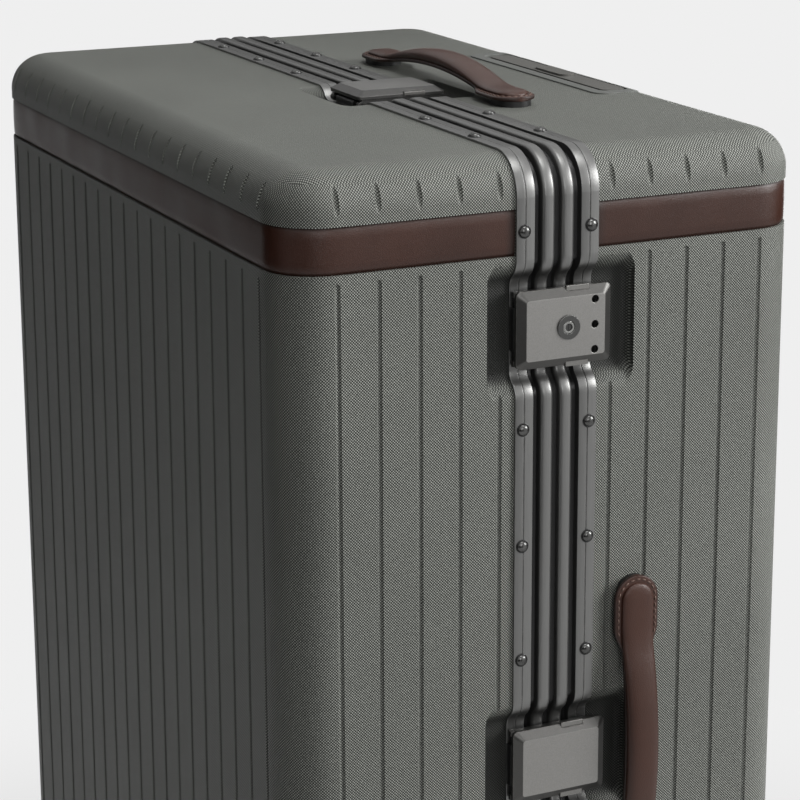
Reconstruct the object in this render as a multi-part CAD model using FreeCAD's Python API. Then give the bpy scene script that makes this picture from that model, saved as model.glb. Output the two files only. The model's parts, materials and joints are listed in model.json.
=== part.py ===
import FreeCAD, Part
import math
import os

V = FreeCAD.Vector

# The case stands upright: X across the width, Y from the front shell to the back shell, Z up.
# The origin lies on the floor under the middle of the case, and the seam is the plane Y = 0.

# Shells
case_width = 487.0
case_depth = 315.0
case_height = 689.0
corner_radius = 30.0
edge_radius = 22.0
shell_wall = 3.2
groove_pitch = 23.4
groove_depth = 0.9
groove_radius = 1.9
groove_band_gap = 4.0
groove_end_gap = 6.0
short_groove_lean = 20.0
short_groove_depth = 1.6
short_groove_reach = 12.0
first_groove_gap = 9.0

# Inlaid leather band
band_drop = 27.9
band_height = 25.4
band_recess = 1.9
band_thick = 1.1

# Double frame, sizes of one half
seam_half = 2.0
ridge_width = 7.65
ridge_rise = 2.2
ridge_round = 2.0
channel_width = 4.35
flange_width = 10.8
flange_thick = 1.4
flange_line_width = 0.6
flange_line_depth = 0.4
edge_wall = 1.0
web_thick = 2.3
leaf_overlap = 8.0
rivet_radius = 3.8
rivet_height = 2.2
rivet_inset = 6.2
gasket_clearance = 0.3
gasket_rise = 1.5

# Draw latches and the dips that hold them
latch_width = 57.2
latch_length = 43.0
latch_shift = 3.5
latch_thick = 5.0
latch_edge = 2.0
latch_bevel = 4.8
latch_round = 3.0
latch_band_gap = 2.2
top_latch_x = 22.0
dip_depth = 8.0
dip_run = 16.0
dip_margin = 1.0
pocket_front = 41.4
pocket_back = 48.3
pocket_round = 5.0
pivot_inset = 3.0
pivot_drop = 3.5
pivot_pin_radius = 1.3
lug_radius = 2.6
lug_length = 24.0
running_clearance = 0.05
skirt_inset = 1.0
skirt_thick = 3.0
skirt_drop = 4.4
skirt_back_gap = 3.5
claw_length = 16.0
claw_thick = 3.0
claw_y = 12.0
claw_drop = 4.7
keeper_thick = 1.3
keeper_width = 4.4
keeper_inset = 0.4
keeper_length = 20.0
base_thick = 1.2

# Squeeze tabs in the ends of each latch
tab_width = 13.6
tab_y = 11.4
tab_height = 2.0
tab_lift = 1.0
tab_length = 6.8
tab_proud = 0.8
tab_travel = 2.2
tab_clearance = 0.2

# Locks
core_radius = 3.5
core_length = 6.0
core_proud = 0.6
core_y = 5.0
collar_radius = 6.75
collar_height = 0.9
key_slot_width = 0.9
key_slot_length = 4.4
key_slot_depth = 2.0
dial_radius = 4.2
dial_width = 6.0
dial_count = 3
dial_pitch = 13.9
dial_y = 23.3
dial_drop = 0.3
dial_shaft_radius = 0.9
dial_teeth = 10
dial_notch_radius = 0.5
dial_side_clearance = 0.3
dial_rim_clearance = 0.2
dial_window_radius = 2.2
dial_window_inset = 2.1

# Rivet rows
rivet_above_latch = 54.0
rivet_below_latch = 55.0
rivet_pitch = 66.0
top_rivet_pitch = 62.0
top_rivet_steps = 3
rivet_dip_margin = 8.0

# Hinge
hinge_axis_rise = 5.0
hinge_barrel_radius = 3.0
hinge_pin_radius = 1.5
hinge_leaf_thick = 1.3
hinge_leaf_width = 5.6
hinge_length = 70.0
hinge_spacing = 230.0
hinge_knuckles = 5
hinge_knuckle_gap = 0.4
hinge_pin_head = 1.2
hinge_pin_head_radius = 2.4

# Carry handles
handle_length = 206.0
handle_tab_width = 28.0
handle_strap_width = 23.0
handle_tab_length = 26.0
handle_tab_thick = 5.5
handle_rise = 23.0
handle_strap_thick = 9.5
handle_hollow = 0.25
handle_y = 50.0
top_handle_x = 5.0
foot_length = 27.0
foot_width = 20.0
foot_thick = 3.5

# Trolley handle
trolley_inset = 30.0
trolley_length = 176.0
trolley_width = 31.0
trolley_rim_x = 8.0
trolley_rim_back = 4.5
trolley_rim_front = 7.0
trolley_rise = 0.8
trolley_round = 8.0
trolley_tray_depth = 18.0
trolley_floor = 3.0
grip_clearance = 0.5
grip_trench = 3.4
grip_round = 5.0
grip_seat_gap = 0.4
grip_sink = 0.3
tube_spacing = 128.0
tube_width = 24.0
tube_depth = 17.0
tube_wall = 1.3
tube_clearance = 0.4
tube_round = 4.0
tube_overlap = 160.0
tube_travel = 190.0
tube_foot_gap = 0.2
button_length = 38.0
button_width = 11.0
button_height = 7.0
button_proud = 1.2
button_travel = 3.0
button_clearance = 0.3

# Casters
caster_inset_x = 66.0
caster_inset_y = 62.0
wheel_radius = 23.0
wheel_width = 11.0
wheel_gap = 0.5
wheel_edge_round = 3.0
wheel_trail = 12.0
axle_radius = 3.0
axle_head = 1.2
axle_head_radius = 5.0
fork_arm_width = 8.0
fork_arm_depth = 15.0
crown_radius = 20.0
crown_clearance = 0.7
crown_thick = 4.4
cup_clearance = 0.3
cup_thick = 6.6
cup_radius = 31.0
cup_taper = 4.0
boss_radius = 11.0
boss_height = 20.0
stem_radius = 5.0
stem_top_gap = 1.0
boss_cap = 3.0

# Lining and straps
lining_offset = 6.4
lining_thick = 1.3
lining_seam_gap = 3.0
channel_margin = 4.0
strap_width = 25.0
strap_thick = 1.5
strap_spacing = 260.0

# Worked-out places
crown_bottom = 2 * wheel_radius + crown_clearance
cup_bottom = crown_bottom + crown_thick + cup_clearance
floor_gap = cup_bottom + cup_thick
half_width = case_width / 2
half_depth = case_depth / 2
bottom = floor_gap
top = floor_gap + case_height
middle = floor_gap + case_height / 2
ridge_outer = seam_half + ridge_width
flange_inner = ridge_outer + channel_width
frame_half = flange_inner + flange_width
shell_edge = flange_inner + edge_wall
rivet_y = flange_inner + rivet_inset
dip_half = latch_length / 2 + dip_margin
dip_end = dip_half + dip_run
dip_angle = 2 * math.atan2(dip_depth, dip_run)
dip_radius = (dip_run ** 2 + dip_depth ** 2) / (4 * dip_depth)
latch_front = latch_shift - latch_width / 2
latch_back = latch_shift + latch_width / 2
pivot_y = latch_front + pivot_inset
skirt_outer = latch_length / 2 - skirt_inset
flange_top_in_dip = flange_thick - dip_depth
band_top = top - band_drop
band_bottom = band_top - band_height
tray_floor = top - trolley_tray_depth
bezel_bottom = tray_floor - trolley_floor
trolley_y = half_depth - trolley_inset
tool_reach = 40.0

os.makedirs("parts", exist_ok=True)


def save(name, shape):
    shape.exportStep("parts/" + name + ".step")
    print(name, len(shape.Solids), shape.isValid(), round(shape.Volume / 1000, 2))


def box(x0, x1, y0, y1, z0, z1):
    return Part.makeBox(x1 - x0, y1 - y0, z1 - z0, V(x0, y0, z0))


def line(start, finish):
    return Part.LineSegment(start, finish).toShape()


def arc(start, mid, finish):
    return Part.Arc(start, mid, finish).toShape()


def rod(radius, start, direction, length):
    return Part.makeCylinder(radius, length, start, direction)


def fused(shapes):
    first = shapes[0]
    return first.fuse(shapes[1:]).removeSplitter() if len(shapes) > 1 else first


def rounded_rectangle(length, width, radius, z):
    # A flat rounded rectangle centred on the Z axis at height z
    hx = length / 2
    hy = width / 2
    cx = hx - radius
    cy = hy - radius
    bend = radius * math.sqrt(0.5)
    edges = []
    for sx, sy in ((1, 1), (-1, 1), (-1, -1), (1, -1)):
        side_in_x = V(sx * hx, sy * cy, z)
        side_in_y = V(sx * cx, sy * hy, z)
        mid = V(sx * (cx + bend), sy * (cy + bend), z)
        ends = (side_in_x, side_in_y) if sx * sy > 0 else (side_in_y, side_in_x)
        edges.append((ends[0], mid, ends[1]))
    wire = []
    for here, after in zip(edges, edges[1:] + edges[:1]):
        wire.append(arc(*here))
        wire.append(line(here[2], after[0]))
    return Part.Wire(wire)


def rounded_bar(length, width, radius, z0, z1):
    face = Part.Face(rounded_rectangle(length, width, radius, z0))
    return face.extrude(V(0, 0, z1 - z0))


def moved(shape, x, y, z):
    copy = shape.copy()
    copy.translate(V(x, y, z))
    return copy


# Latch stations: local X runs along the seam, local Y is the case's Y, local Z points out of the case.
def side_station(z):
    return FreeCAD.Placement(V(half_width, 0, z), FreeCAD.Rotation(V(0, 1, 0), 90))


def top_station(x):
    return FreeCAD.Placement(V(x, 0, top), FreeCAD.Rotation())


upper_z = band_bottom - latch_band_gap - dip_end
lower_z = bottom + top - upper_z
stations = {
    "top": top_station(top_latch_x),
    "upper": side_station(upper_z),
    "middle": side_station(middle),
    "lower": side_station(lower_z),
}
locked = ("upper", "lower")


def stand(shape, place):
    copy = shape.copy()
    copy.Placement = place.multiply(copy.Placement)
    return copy


def at_stations(shape, names):
    return Part.makeCompound([stand(shape, stations[name]) for name in names])


# One dip in the seam line: an easy S of two equal arcs down, a flat floor and the same S up again.
# The points are (along the seam, out of the case), for a line kept "offset" outside the shell's face.
def dip_edges(centre, offset, place):
    def bend(side):
        # side -1 is where the dip starts and side +1 where it ends
        rim = centre + side * dip_end
        foot = centre + side * dip_half
        half = dip_angle / 2
        outer = dip_radius + offset
        inner = dip_radius - offset
        rim_point = place(rim, offset)
        foot_point = place(foot, offset - dip_depth)
        rim_mid = place(rim - side * outer * math.sin(half), outer * math.cos(half) - dip_radius)
        foot_along = foot + side * inner * math.sin(half)
        foot_mid = place(foot_along, dip_radius - dip_depth - inner * math.cos(half))
        join_along = (rim + foot) / 2 - side * offset * math.sin(dip_angle)
        join = place(join_along, offset * math.cos(dip_angle) - dip_depth / 2)
        return rim_point, rim_mid, join, foot_mid, foot_point

    start = bend(-1)
    finish = bend(1)
    return [
        arc(start[0], start[1], start[2]),
        arc(start[2], start[3], start[4]),
        line(start[4], finish[4]),
        arc(finish[4], finish[3], finish[2]),
        arc(finish[2], finish[1], finish[0]),
    ]


# The closed line round the seam, offset from the shell's face, with its dips
def seam_line(offset):
    flat_x = half_width - edge_radius
    flat_z = case_height / 2 - edge_radius
    sides = [
        (flat_z, [lower_z - middle, 0.0, upper_z - middle], lambda t, n: V(half_width + n, 0, middle + t)),
        (flat_x, [-top_latch_x], lambda t, n: V(-t, 0, top + n)),
        (flat_z, [], lambda t, n: V(-half_width - n, 0, middle - t)),
        (flat_x, [], lambda t, n: V(t, 0, bottom - n)),
    ]
    corners = [(1, 1), (-1, 1), (-1, -1), (1, -1)]
    bend = (edge_radius + offset) * math.sqrt(0.5)
    edges = []
    for index, (flat, dips, place) in enumerate(sides):
        reached = -flat
        for centre in dips:
            edges.append(line(place(reached, offset), place(centre - dip_end, offset)))
            edges.extend(dip_edges(centre, offset, place))
            reached = centre + dip_end
        edges.append(line(place(reached, offset), place(flat, offset)))
        sx, sz = corners[index]
        following = sides[(index + 1) % len(sides)]
        mid = V(sx * (flat_x + bend), 0, middle + sz * (flat_z + bend))
        edges.append(arc(place(flat, offset), mid, following[2](-following[0], offset)))
    return Part.Wire(edges)


def seam_slab(offset, y0, y1):
    slab = Part.Face(seam_line(offset)).extrude(V(0, y1 - y0, 0))
    slab.translate(V(0, y0, 0))
    return slab


def seam_ring(inner, outer, y0, y1):
    return seam_slab(outer, y0, y1).cut(seam_slab(inner, y0, y1))


# The finger pocket round one latch, in the station's own axes, grown by the depth below the shell's face
def pocket(offset):
    y0 = offset - pocket_front
    y1 = pocket_back - offset
    lid = offset + tool_reach
    edges = dip_edges(0.0, offset, lambda t, n: V(t, y0, n))
    first = V(-dip_end, y0, offset)
    last = V(dip_end, y0, offset)
    high_first = V(-dip_end, y0, lid)
    high_last = V(dip_end, y0, lid)
    edges.append(line(last, high_last))
    edges.append(line(high_last, high_first))
    edges.append(line(high_first, first))
    solid = Part.Face(Part.Wire(edges)).extrude(V(0, y1 - y0, 0))

    def is_end_floor(edge):
        ends = {round(v.Point.y, 3) for v in edge.Vertexes}
        high = max(v.Point.z for v in edge.Vertexes)
        return len(ends) == 1 and high < offset - dip_depth / 4

    floor_edges = [edge for edge in solid.Edges if is_end_floor(edge)]
    return solid.makeFillet(pocket_round, floor_edges)


# The upright edges are rounder than the edges of the top and the bottom
def case_block(offset):
    block = box(-half_width - offset, half_width + offset, -half_depth - offset, half_depth + offset,
                bottom - offset, top + offset)
    upright = [edge for edge in block.Edges if edge.BoundBox.ZLength > corner_radius]
    block = block.makeFillet(corner_radius + offset, upright)
    level = [edge for edge in block.Edges if edge.BoundBox.ZLength < tab_clearance]
    return block.makeFillet(edge_radius + offset, level)


def case_body(offset):
    return case_block(offset).cut([stand(pocket(offset), place) for place in stations.values()])


def front_half(shape, y):
    reach = case_width
    return shape.common(box(-reach, reach, -case_depth, -y, -reach, 2 * case_height))


def back_half(shape, y):
    reach = case_width
    return shape.common(box(-reach, reach, y, case_depth, -reach, 2 * case_height))


# Shells: one ribbed dish on each side of the seam
def band_block(offset):
    length = case_width + 2 * offset
    width = case_depth + 2 * offset
    return rounded_bar(length, width, corner_radius + offset, band_bottom, band_top)


def outside_frame(shape):
    reach = case_width
    return shape.cut(box(-reach, reach, -frame_half, frame_half, -reach, 2 * case_height))


def groove_lines():
    # The plan points of the vertical grooves with the way that each one faces
    flat_x = half_width - corner_radius
    flat_y = half_depth - corner_radius
    lines = []
    count = int(flat_x // groove_pitch)
    for step in range(-count, count + 1):
        lines.append((step * groove_pitch, half_depth, 0, 1))
        lines.append((step * groove_pitch, -half_depth, 0, -1))
    y = frame_half + first_groove_gap
    while y <= flat_y:
        for side in (-1, 1):
            lines.append((side * half_width, y, side, 0))
            lines.append((side * half_width, -y, side, 0))
        y += groove_pitch
    return lines


def groove(place, z0, z1):
    # A round-ended rod, turned from a profile on its outer side so that its seam stays out of the wall
    x, y, out_x, out_y = place
    lift = groove_radius - groove_depth
    foot = V(x + out_x * lift, y + out_y * lift, z0)
    head = V(foot.x, foot.y, z1)
    out = V(out_x, out_y, 0) * groove_radius
    up = V(0, 0, groove_radius)
    bend = math.sqrt(0.5)
    profile = [
        arc(foot - up, foot + out * bend - up * bend, foot + out),
        line(foot + out, head + out),
        arc(head + out, head + out * bend + up * bend, head + up),
        line(head + up, foot - up),
    ]
    return Part.Face(Part.Wire(profile)).revolve(foot, V(0, 0, 1), 360)


def short_groove(place):
    # A rod laid along the curve above the band, so that the groove runs out at both its ends
    x, y, out_x, out_y = place
    lean = math.radians(short_groove_lean)
    level = V(out_x, out_y, 0)
    out = level * math.cos(lean) + V(0, 0, math.sin(lean))
    along = V(0, 0, math.cos(lean)) - level * math.sin(lean)
    centre = V(x, y, top - edge_radius) - level * edge_radius
    centre += out * (edge_radius + groove_radius - short_groove_depth)
    foot = centre - along * short_groove_reach
    head = centre + along * short_groove_reach
    rim = out * groove_radius
    corners = [foot, foot + rim, head + rim, head, foot]
    return Part.Face(Part.makePolygon(corners)).revolve(foot, along, 360)


def grooves():
    cuts = []
    low = bottom + edge_radius + groove_end_gap
    high = band_bottom - groove_band_gap - groove_radius
    for place in groove_lines():
        cuts.append(groove(place, low, high))
        cuts.append(short_groove(place))
    return cuts


def caster_places(side):
    # Plan centres of the two casters on one half: side -1 is the front half, +1 the back half
    y = side * (half_depth - caster_inset_y)
    return [V(x_side * (half_width - caster_inset_x), y, 0) for x_side in (-1, 1)]


def boss_holes(side, radius):
    height = case_height / 2
    return [rod(radius, V(c.x, c.y, 0), V(0, 0, 1), height) for c in caster_places(side)]


def trolley_block(z0, z1, grow):
    length = trolley_length + 2 * grow
    width = trolley_width + 2 * grow
    return moved(rounded_bar(length, width, trolley_round + grow, z0, z1), 0, trolley_y, 0)


def make_shells():
    wall = case_body(0.0).cut(case_body(-shell_wall))
    channel = outside_frame(band_block(band_recess).cut(band_block(-band_recess)))
    wall = wall.cut(channel).cut(grooves())
    front = front_half(wall, shell_edge).cut(boss_holes(-1, boss_radius))
    back = back_half(wall, shell_edge).cut(boss_holes(1, boss_radius))
    back = back.cut(trolley_block(bezel_bottom, top + tool_reach, 0.0))
    save("front_shell", front)
    save("back_shell", back)


def make_bands():
    strip = outside_frame(band_block(band_thick - band_recess).cut(band_block(-band_recess)))
    save("front_leather_band", front_half(strip, frame_half))
    save("back_leather_band", back_half(strip, frame_half))


# Frame halves: a web inside the shell's edge, a flange outside it and the rounded ridge at the seam
def one_side(side, inner, outer, near, far):
    y0, y1 = (near, far) if side > 0 else (-far, -near)
    return seam_ring(inner, outer, y0, y1)


def ridge(side):
    y0, y1 = (seam_half, ridge_outer) if side > 0 else (-ridge_outer, -seam_half)
    slab = seam_slab(ridge_rise, y0, y1)
    rims = [e for e in slab.Edges if len({round(v.Point.y, 3) for v in e.Vertexes}) == 1]
    return slab.makeFillet(ridge_round, rims).cut(seam_slab(-shell_wall, y0, y1))


def frame_side(side):
    web = one_side(side, -shell_wall - web_thick, -shell_wall, seam_half, shell_edge + leaf_overlap)
    edge = one_side(side, -shell_wall, flange_thick, flange_inner, shell_edge)
    flange = one_side(side, 0.0, flange_thick, shell_edge, frame_half)
    line_y = flange_inner + flange_width / 2
    line = one_side(side, flange_thick - flange_line_depth, flange_thick + flange_line_depth,
                    line_y - flange_line_width / 2, line_y + flange_line_width / 2)
    return fused([web, ridge(side), edge, flange]).cut(line)


def rivet_dome():
    ball = (rivet_radius ** 2 + rivet_height ** 2) / (2 * rivet_height)
    cut_angle = math.degrees(math.asin((ball - rivet_height) / ball))
    centre = V(0, 0, rivet_height - ball)
    return Part.makeSphere(ball, centre, V(0, 0, 1), cut_angle, 90)


def rivet_places():
    # Where the rivets stand round the seam line: a point on the flange's face and the turn about Y
    reach = flange_thick
    places = []
    rows = [upper_z + rivet_above_latch, upper_z - rivet_below_latch]
    while rows[-1] - rivet_pitch > middle + dip_end:
        rows.append(rows[-1] - rivet_pitch)
    rows += [2 * middle - z for z in rows]
    for z in rows:
        places.append((V(half_width + reach, 0, z), 90))
        places.append((V(-half_width - reach, 0, z), -90))
    for step in range(-top_rivet_steps, top_rivet_steps + 1):
        x = step * top_rivet_pitch
        if step == 0:
            continue
        places.append((V(x, 0, bottom - reach), 180))
        if abs(x - top_latch_x) > dip_end + rivet_dip_margin:
            places.append((V(x, 0, top + reach), 0))
    return places


def rivets(side):
    domes = []
    for point, turn in rivet_places():
        foot = V(point.x, side * rivet_y, point.z)
        domes.append(stand(rivet_dome(), FreeCAD.Placement(foot, FreeCAD.Rotation(V(0, 1, 0), turn))))
    return Part.makeCompound(domes)


def make_frames():
    save("front_frame", frame_side(-1))
    save("back_frame", frame_side(1))
    save("front_frame_rivets", rivets(-1))
    save("back_frame_rivets", rivets(1))
    save("frame_gasket", seam_ring(-shell_wall - web_thick, gasket_rise - shell_wall,
                                   gasket_clearance - seam_half, seam_half))


# Linings, with a raised channel over the trolley tubes in the back half, and two packing straps
def tube_channel(grow):
    x = (tube_spacing + tube_width) / 2 + channel_margin + grow
    y = trolley_y - tube_depth / 2 - channel_margin - grow
    return box(-x, x, y, case_depth, 0, 2 * case_height)


def make_linings():
    outer = case_body(-lining_offset)
    inner = case_body(-lining_offset - lining_thick)
    hole = boss_radius + cup_clearance
    front = front_half(outer.cut(inner), lining_seam_gap).cut(boss_holes(-1, hole))
    hollow = inner.cut(tube_channel(lining_thick))
    back = back_half(outer.cut(hollow), lining_seam_gap).cut(tube_channel(0.0)).cut(boss_holes(1, hole))
    back = back.cut(trolley_block(bezel_bottom - cup_clearance, top, cup_clearance))
    save("front_lining", front)
    save("back_lining", back)


def make_straps():
    x = half_width - lining_offset - lining_thick
    y = trolley_y - tube_depth / 2 - channel_margin - lining_thick - strap_thick
    straps = []
    for side in (-1, 1):
        z = middle + side * strap_spacing / 2
        straps.append(box(-x, x, y, y + strap_thick, z - strap_width / 2, z + strap_width / 2))
    save("compression_straps", Part.makeCompound(straps))


# Draw latches, in the axes of their station
def along_seam(radius, y, out, half):
    return rod(radius, V(-half, y, out), V(1, 0, 0), 2 * half)


def latch_plate():
    inset = 2 * latch_bevel
    low = rounded_rectangle(latch_length, latch_width, latch_round, latch_edge)
    high = rounded_rectangle(latch_length - inset, latch_width - inset, latch_round / 2, latch_thick)
    bevel = Part.makeLoft([low, high], True, True)
    edge = rounded_bar(latch_length, latch_width, latch_round, 0.0, latch_edge)
    return moved(edge.fuse(bevel), 0, latch_shift, 0)


def latch_skirt(side):
    x0, x1 = sorted((side * skirt_outer, side * (skirt_outer - skirt_thick)))
    cheek = box(x0, x1, pivot_y, latch_back - skirt_back_gap, -skirt_drop, 0.0)
    ear = rod(lug_radius, V(x0, pivot_y, -pivot_drop), V(1, 0, 0), skirt_thick)
    return cheek.fuse(ear)


def tab_block(side, inner_end, outer_end, gap):
    x0, x1 = sorted((side * inner_end, side * outer_end))
    y = tab_width / 2 + gap
    return box(x0, x1, tab_y - y, tab_y + y, tab_lift - gap, tab_lift + tab_height + gap)


def squeeze_tab(side):
    outer_end = latch_length / 2 + tab_proud
    tab = tab_block(side, outer_end - tab_length, outer_end, 0.0)
    corners = [e for e in tab.Edges
               if all(abs(abs(v.Point.x) - outer_end) < tab_clearance for v in e.Vertexes)
               and abs(e.Vertexes[0].Point.y - e.Vertexes[1].Point.y) < tab_clearance]
    return tab.makeFillet(tab_proud / 2, corners)


def latch_lever():
    claw = box(-claw_length / 2, claw_length / 2, claw_y, claw_y + claw_thick, -claw_drop, 0.0)
    lever = fused([latch_plate(), latch_skirt(-1), latch_skirt(1), claw])
    depth = tab_length - tab_proud + tab_travel + tab_clearance
    cuts = [along_seam(pivot_pin_radius + running_clearance, pivot_y, -pivot_drop, latch_length)]
    for side in (-1, 1):
        cuts.append(tab_block(side, latch_length / 2 - depth, latch_length, tab_clearance))
    return lever.cut(cuts)


def dial_centre(index):
    return (index - (dial_count - 1) / 2) * dial_pitch


def locking_lever():
    cuts = [rod(core_radius + running_clearance, V(0, core_y, -latch_thick), V(0, 0, 1), tool_reach)]
    half = dial_width / 2 + dial_side_clearance
    crest = dial_radius + dial_rim_clearance
    for index in range(dial_count):
        x = dial_centre(index)
        cuts.append(box(x - half, x + half, dial_y - crest, dial_y + crest, -tool_reach, crest - dial_drop))
        cuts.append(rod(dial_window_radius, V(x, dial_y - dial_window_inset, 0), V(0, 0, 1), tool_reach))
    shaft = along_seam(dial_shaft_radius, dial_y, -dial_drop, skirt_outer - skirt_thick / 2)
    return latch_lever().cut(cuts).fuse(shaft)


def lock_collar():
    ring = rod(collar_radius, V(0, core_y, latch_thick), V(0, 0, 1), collar_height)
    hole = rod(core_radius + running_clearance, V(0, core_y, latch_thick), V(0, 0, 1), collar_height)
    return ring.cut(hole)


def lock_core():
    face = latch_thick + core_proud
    barrel = rod(core_radius, V(0, core_y, face - core_length), V(0, 0, 1), core_length)
    slot = box(-key_slot_length / 2, key_slot_length / 2, core_y - key_slot_width / 2,
               core_y + key_slot_width / 2, face - key_slot_depth, face)
    return barrel.cut(slot)


def lock_dial(index):
    x0 = dial_centre(index) - dial_width / 2
    axis = V(1, 0, 0)
    wheel = rod(dial_radius, V(x0, dial_y, -dial_drop), axis, dial_width)
    cuts = [rod(dial_shaft_radius + running_clearance, V(x0, dial_y, -dial_drop), axis, dial_width)]
    for tooth in range(dial_teeth):
        angle = 2 * math.pi * (tooth + 0.5) / dial_teeth
        y = dial_y + dial_radius * math.cos(angle)
        out = dial_radius * math.sin(angle) - dial_drop
        cuts.append(rod(dial_notch_radius, V(x0, y, out), axis, dial_width))
    return wheel.cut(cuts)


def latch_base():
    half = lug_length / 2
    foot = box(-half, half, -frame_half, -flange_inner, flange_top_in_dip, flange_top_in_dip + base_thick)
    lug = box(-half, half, pivot_y - lug_radius, pivot_y + lug_radius, flange_top_in_dip, -pivot_drop)
    barrel = along_seam(lug_radius, pivot_y, -pivot_drop, half)
    bore = along_seam(pivot_pin_radius, pivot_y, -pivot_drop, half)
    return fused([foot, lug, barrel]).cut(bore)


def latch_keeper():
    y = flange_inner + keeper_inset
    half = keeper_length / 2
    return box(-half, half, y, y + keeper_width, flange_top_in_dip, flange_top_in_dip + keeper_thick)


def make_latches():
    save("latch_bases", at_stations(latch_base(), stations))
    save("latch_keepers", at_stations(latch_keeper(), stations))
    pin = along_seam(pivot_pin_radius, pivot_y, -pivot_drop, skirt_outer)
    save("latch_pivot_pins", at_stations(pin, stations))
    for name, place in stations.items():
        lever = locking_lever() if name in locked else latch_lever()
        save(name + "_latch_lever", stand(lever, place))
        save(name + "_latch_tab_left", stand(squeeze_tab(-1), place))
        save(name + "_latch_tab_right", stand(squeeze_tab(1), place))
    for name in locked:
        save(name + "_lock_collar", stand(lock_collar(), stations[name]))
        save(name + "_lock_core", stand(lock_core(), stations[name]))
        for index in range(dial_count):
            save(name + "_lock_dial_" + str(index + 1), stand(lock_dial(index), stations[name]))


# Hinges on the side away from the latches
def hinge_leaf(side, z):
    axis_x = -half_width - hinge_axis_rise
    face_x = -half_width - ridge_rise
    low = z - hinge_length / 2
    pitch = (hinge_length + hinge_knuckle_gap) / hinge_knuckles
    inner = hinge_barrel_radius + 2 * hinge_knuckle_gap
    y0, y1 = sorted((side * inner, side * (inner + hinge_leaf_width)))
    pieces = [box(face_x - hinge_leaf_thick, face_x, y0, y1, low, low + hinge_length)]
    own = 0 if side > 0 else 1
    for knuckle in range(own, hinge_knuckles, 2):
        z0 = low + knuckle * pitch
        z1 = z0 + pitch - hinge_knuckle_gap
        pieces.append(rod(hinge_barrel_radius, V(axis_x, 0, z0), V(0, 0, 1), z1 - z0))
        t0, t1 = sorted((0.0, side * (inner + hinge_knuckle_gap)))
        pieces.append(box(face_x - hinge_leaf_thick, face_x, t0, t1, z0, z1))
    bore = hinge_pin_radius if side > 0 else hinge_pin_radius + running_clearance
    return fused(pieces).cut(rod(bore, V(axis_x, 0, low), V(0, 0, 1), hinge_length))


def hinge_pin(z):
    axis_x = -half_width - hinge_axis_rise
    low = z - hinge_length / 2
    shaft = rod(hinge_pin_radius, V(axis_x, 0, low), V(0, 0, 1), hinge_length)
    foot = rod(hinge_pin_head_radius, V(axis_x, 0, low - hinge_pin_head), V(0, 0, 1), hinge_pin_head)
    head = rod(hinge_pin_head_radius, V(axis_x, 0, low + hinge_length), V(0, 0, 1), hinge_pin_head)
    return fused([shaft, foot, head])


def make_hinges():
    heights = [middle + step * hinge_spacing for step in (-1, 0, 1)]
    save("hinge_back_leaves", Part.makeCompound([hinge_leaf(1, z) for z in heights]))
    save("hinge_front_leaves", Part.makeCompound([hinge_leaf(-1, z) for z in heights]))
    save("hinge_pins", Part.makeCompound([hinge_pin(z) for z in heights]))


# Carry handles, in axes like a latch station's
def easy_rise(start, finish, share):
    # Two arcs from a level start to a level finish, the first over a share of the way
    run = finish.x - start.x
    rise = finish.z - start.z
    radius = (run ** 2 + rise ** 2) / (2 * abs(rise))
    half = math.atan2(abs(rise), abs(run))
    along = math.copysign(radius * math.sin(half), run)
    lift = math.copysign(radius * (1 - math.cos(half)), rise)
    rest = 1 - share
    join = start + (finish - start) * share
    near = V(start.x + share * along, start.y, start.z + share * lift)
    far = V(finish.x - rest * along, finish.y, finish.z - rest * lift)
    return [arc(start, near, join), arc(join, far, finish)]


def handle_side_view(width):
    half = handle_length / 2
    bend = half - handle_tab_length
    low = foot_thick
    high = foot_thick + handle_tab_thick
    crest = handle_rise
    under = handle_rise - handle_strap_thick

    def point(x, z):
        return V(x, -width / 2, z)

    edges = [line(point(-half, low), point(-half, high))]
    edges.append(line(point(-half, high), point(-bend, high)))
    edges += easy_rise(point(-bend, high), point(0, crest), handle_hollow)
    edges += easy_rise(point(0, crest), point(bend, high), 1 - handle_hollow)
    edges.append(line(point(bend, high), point(half, high)))
    edges.append(line(point(half, high), point(half, low)))
    edges.append(line(point(half, low), point(bend, low)))
    edges += easy_rise(point(bend, low), point(0, under), handle_hollow)
    edges += easy_rise(point(0, under), point(-bend, low), 1 - handle_hollow)
    edges.append(line(point(-bend, low), point(-half, low)))
    return Part.Face(Part.Wire(edges)).extrude(V(0, width, 0))


def handle_plan():
    half = handle_length / 2
    end = handle_tab_width / 2
    strap = handle_strap_width / 2
    neck = half - handle_tab_length - end
    edges = []
    for side in (-1, 1):
        y = -side * end
        tab = V(side * (half - end), y, 0)
        far_tab = V(side * (end - half), y, 0)
        waist = V(side * neck, -side * strap, 0)
        far_waist = V(-side * neck, -side * strap, 0)
        edges.append(arc(V(tab.x, -y, 0), V(side * half, 0, 0), tab))
        edges.append(line(tab, waist))
        edges.append(line(waist, far_waist))
        edges.append(line(far_waist, far_tab))
    return Part.Face(Part.Wire(edges)).extrude(V(0, 0, tool_reach))


def carry_handle():
    return handle_side_view(handle_tab_width).common(handle_plan())


def handle_feet():
    x = handle_length / 2 - handle_tab_width / 2
    foot = rounded_bar(foot_length, foot_width, foot_width / 2 - tab_clearance, 0.0, foot_thick)
    return Part.makeCompound([moved(foot, -x, 0, 0), moved(foot, x, 0, 0)])


def make_handles():
    side = FreeCAD.Placement(V(half_width, handle_y, middle), FreeCAD.Rotation(V(0, 1, 0), 90))
    above = FreeCAD.Placement(V(top_handle_x, handle_y, top), FreeCAD.Rotation())
    for name, place in (("side", side), ("top", above)):
        save(name + "_handle", stand(carry_handle(), place))
        save(name + "_handle_feet", stand(handle_feet(), place))


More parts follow.
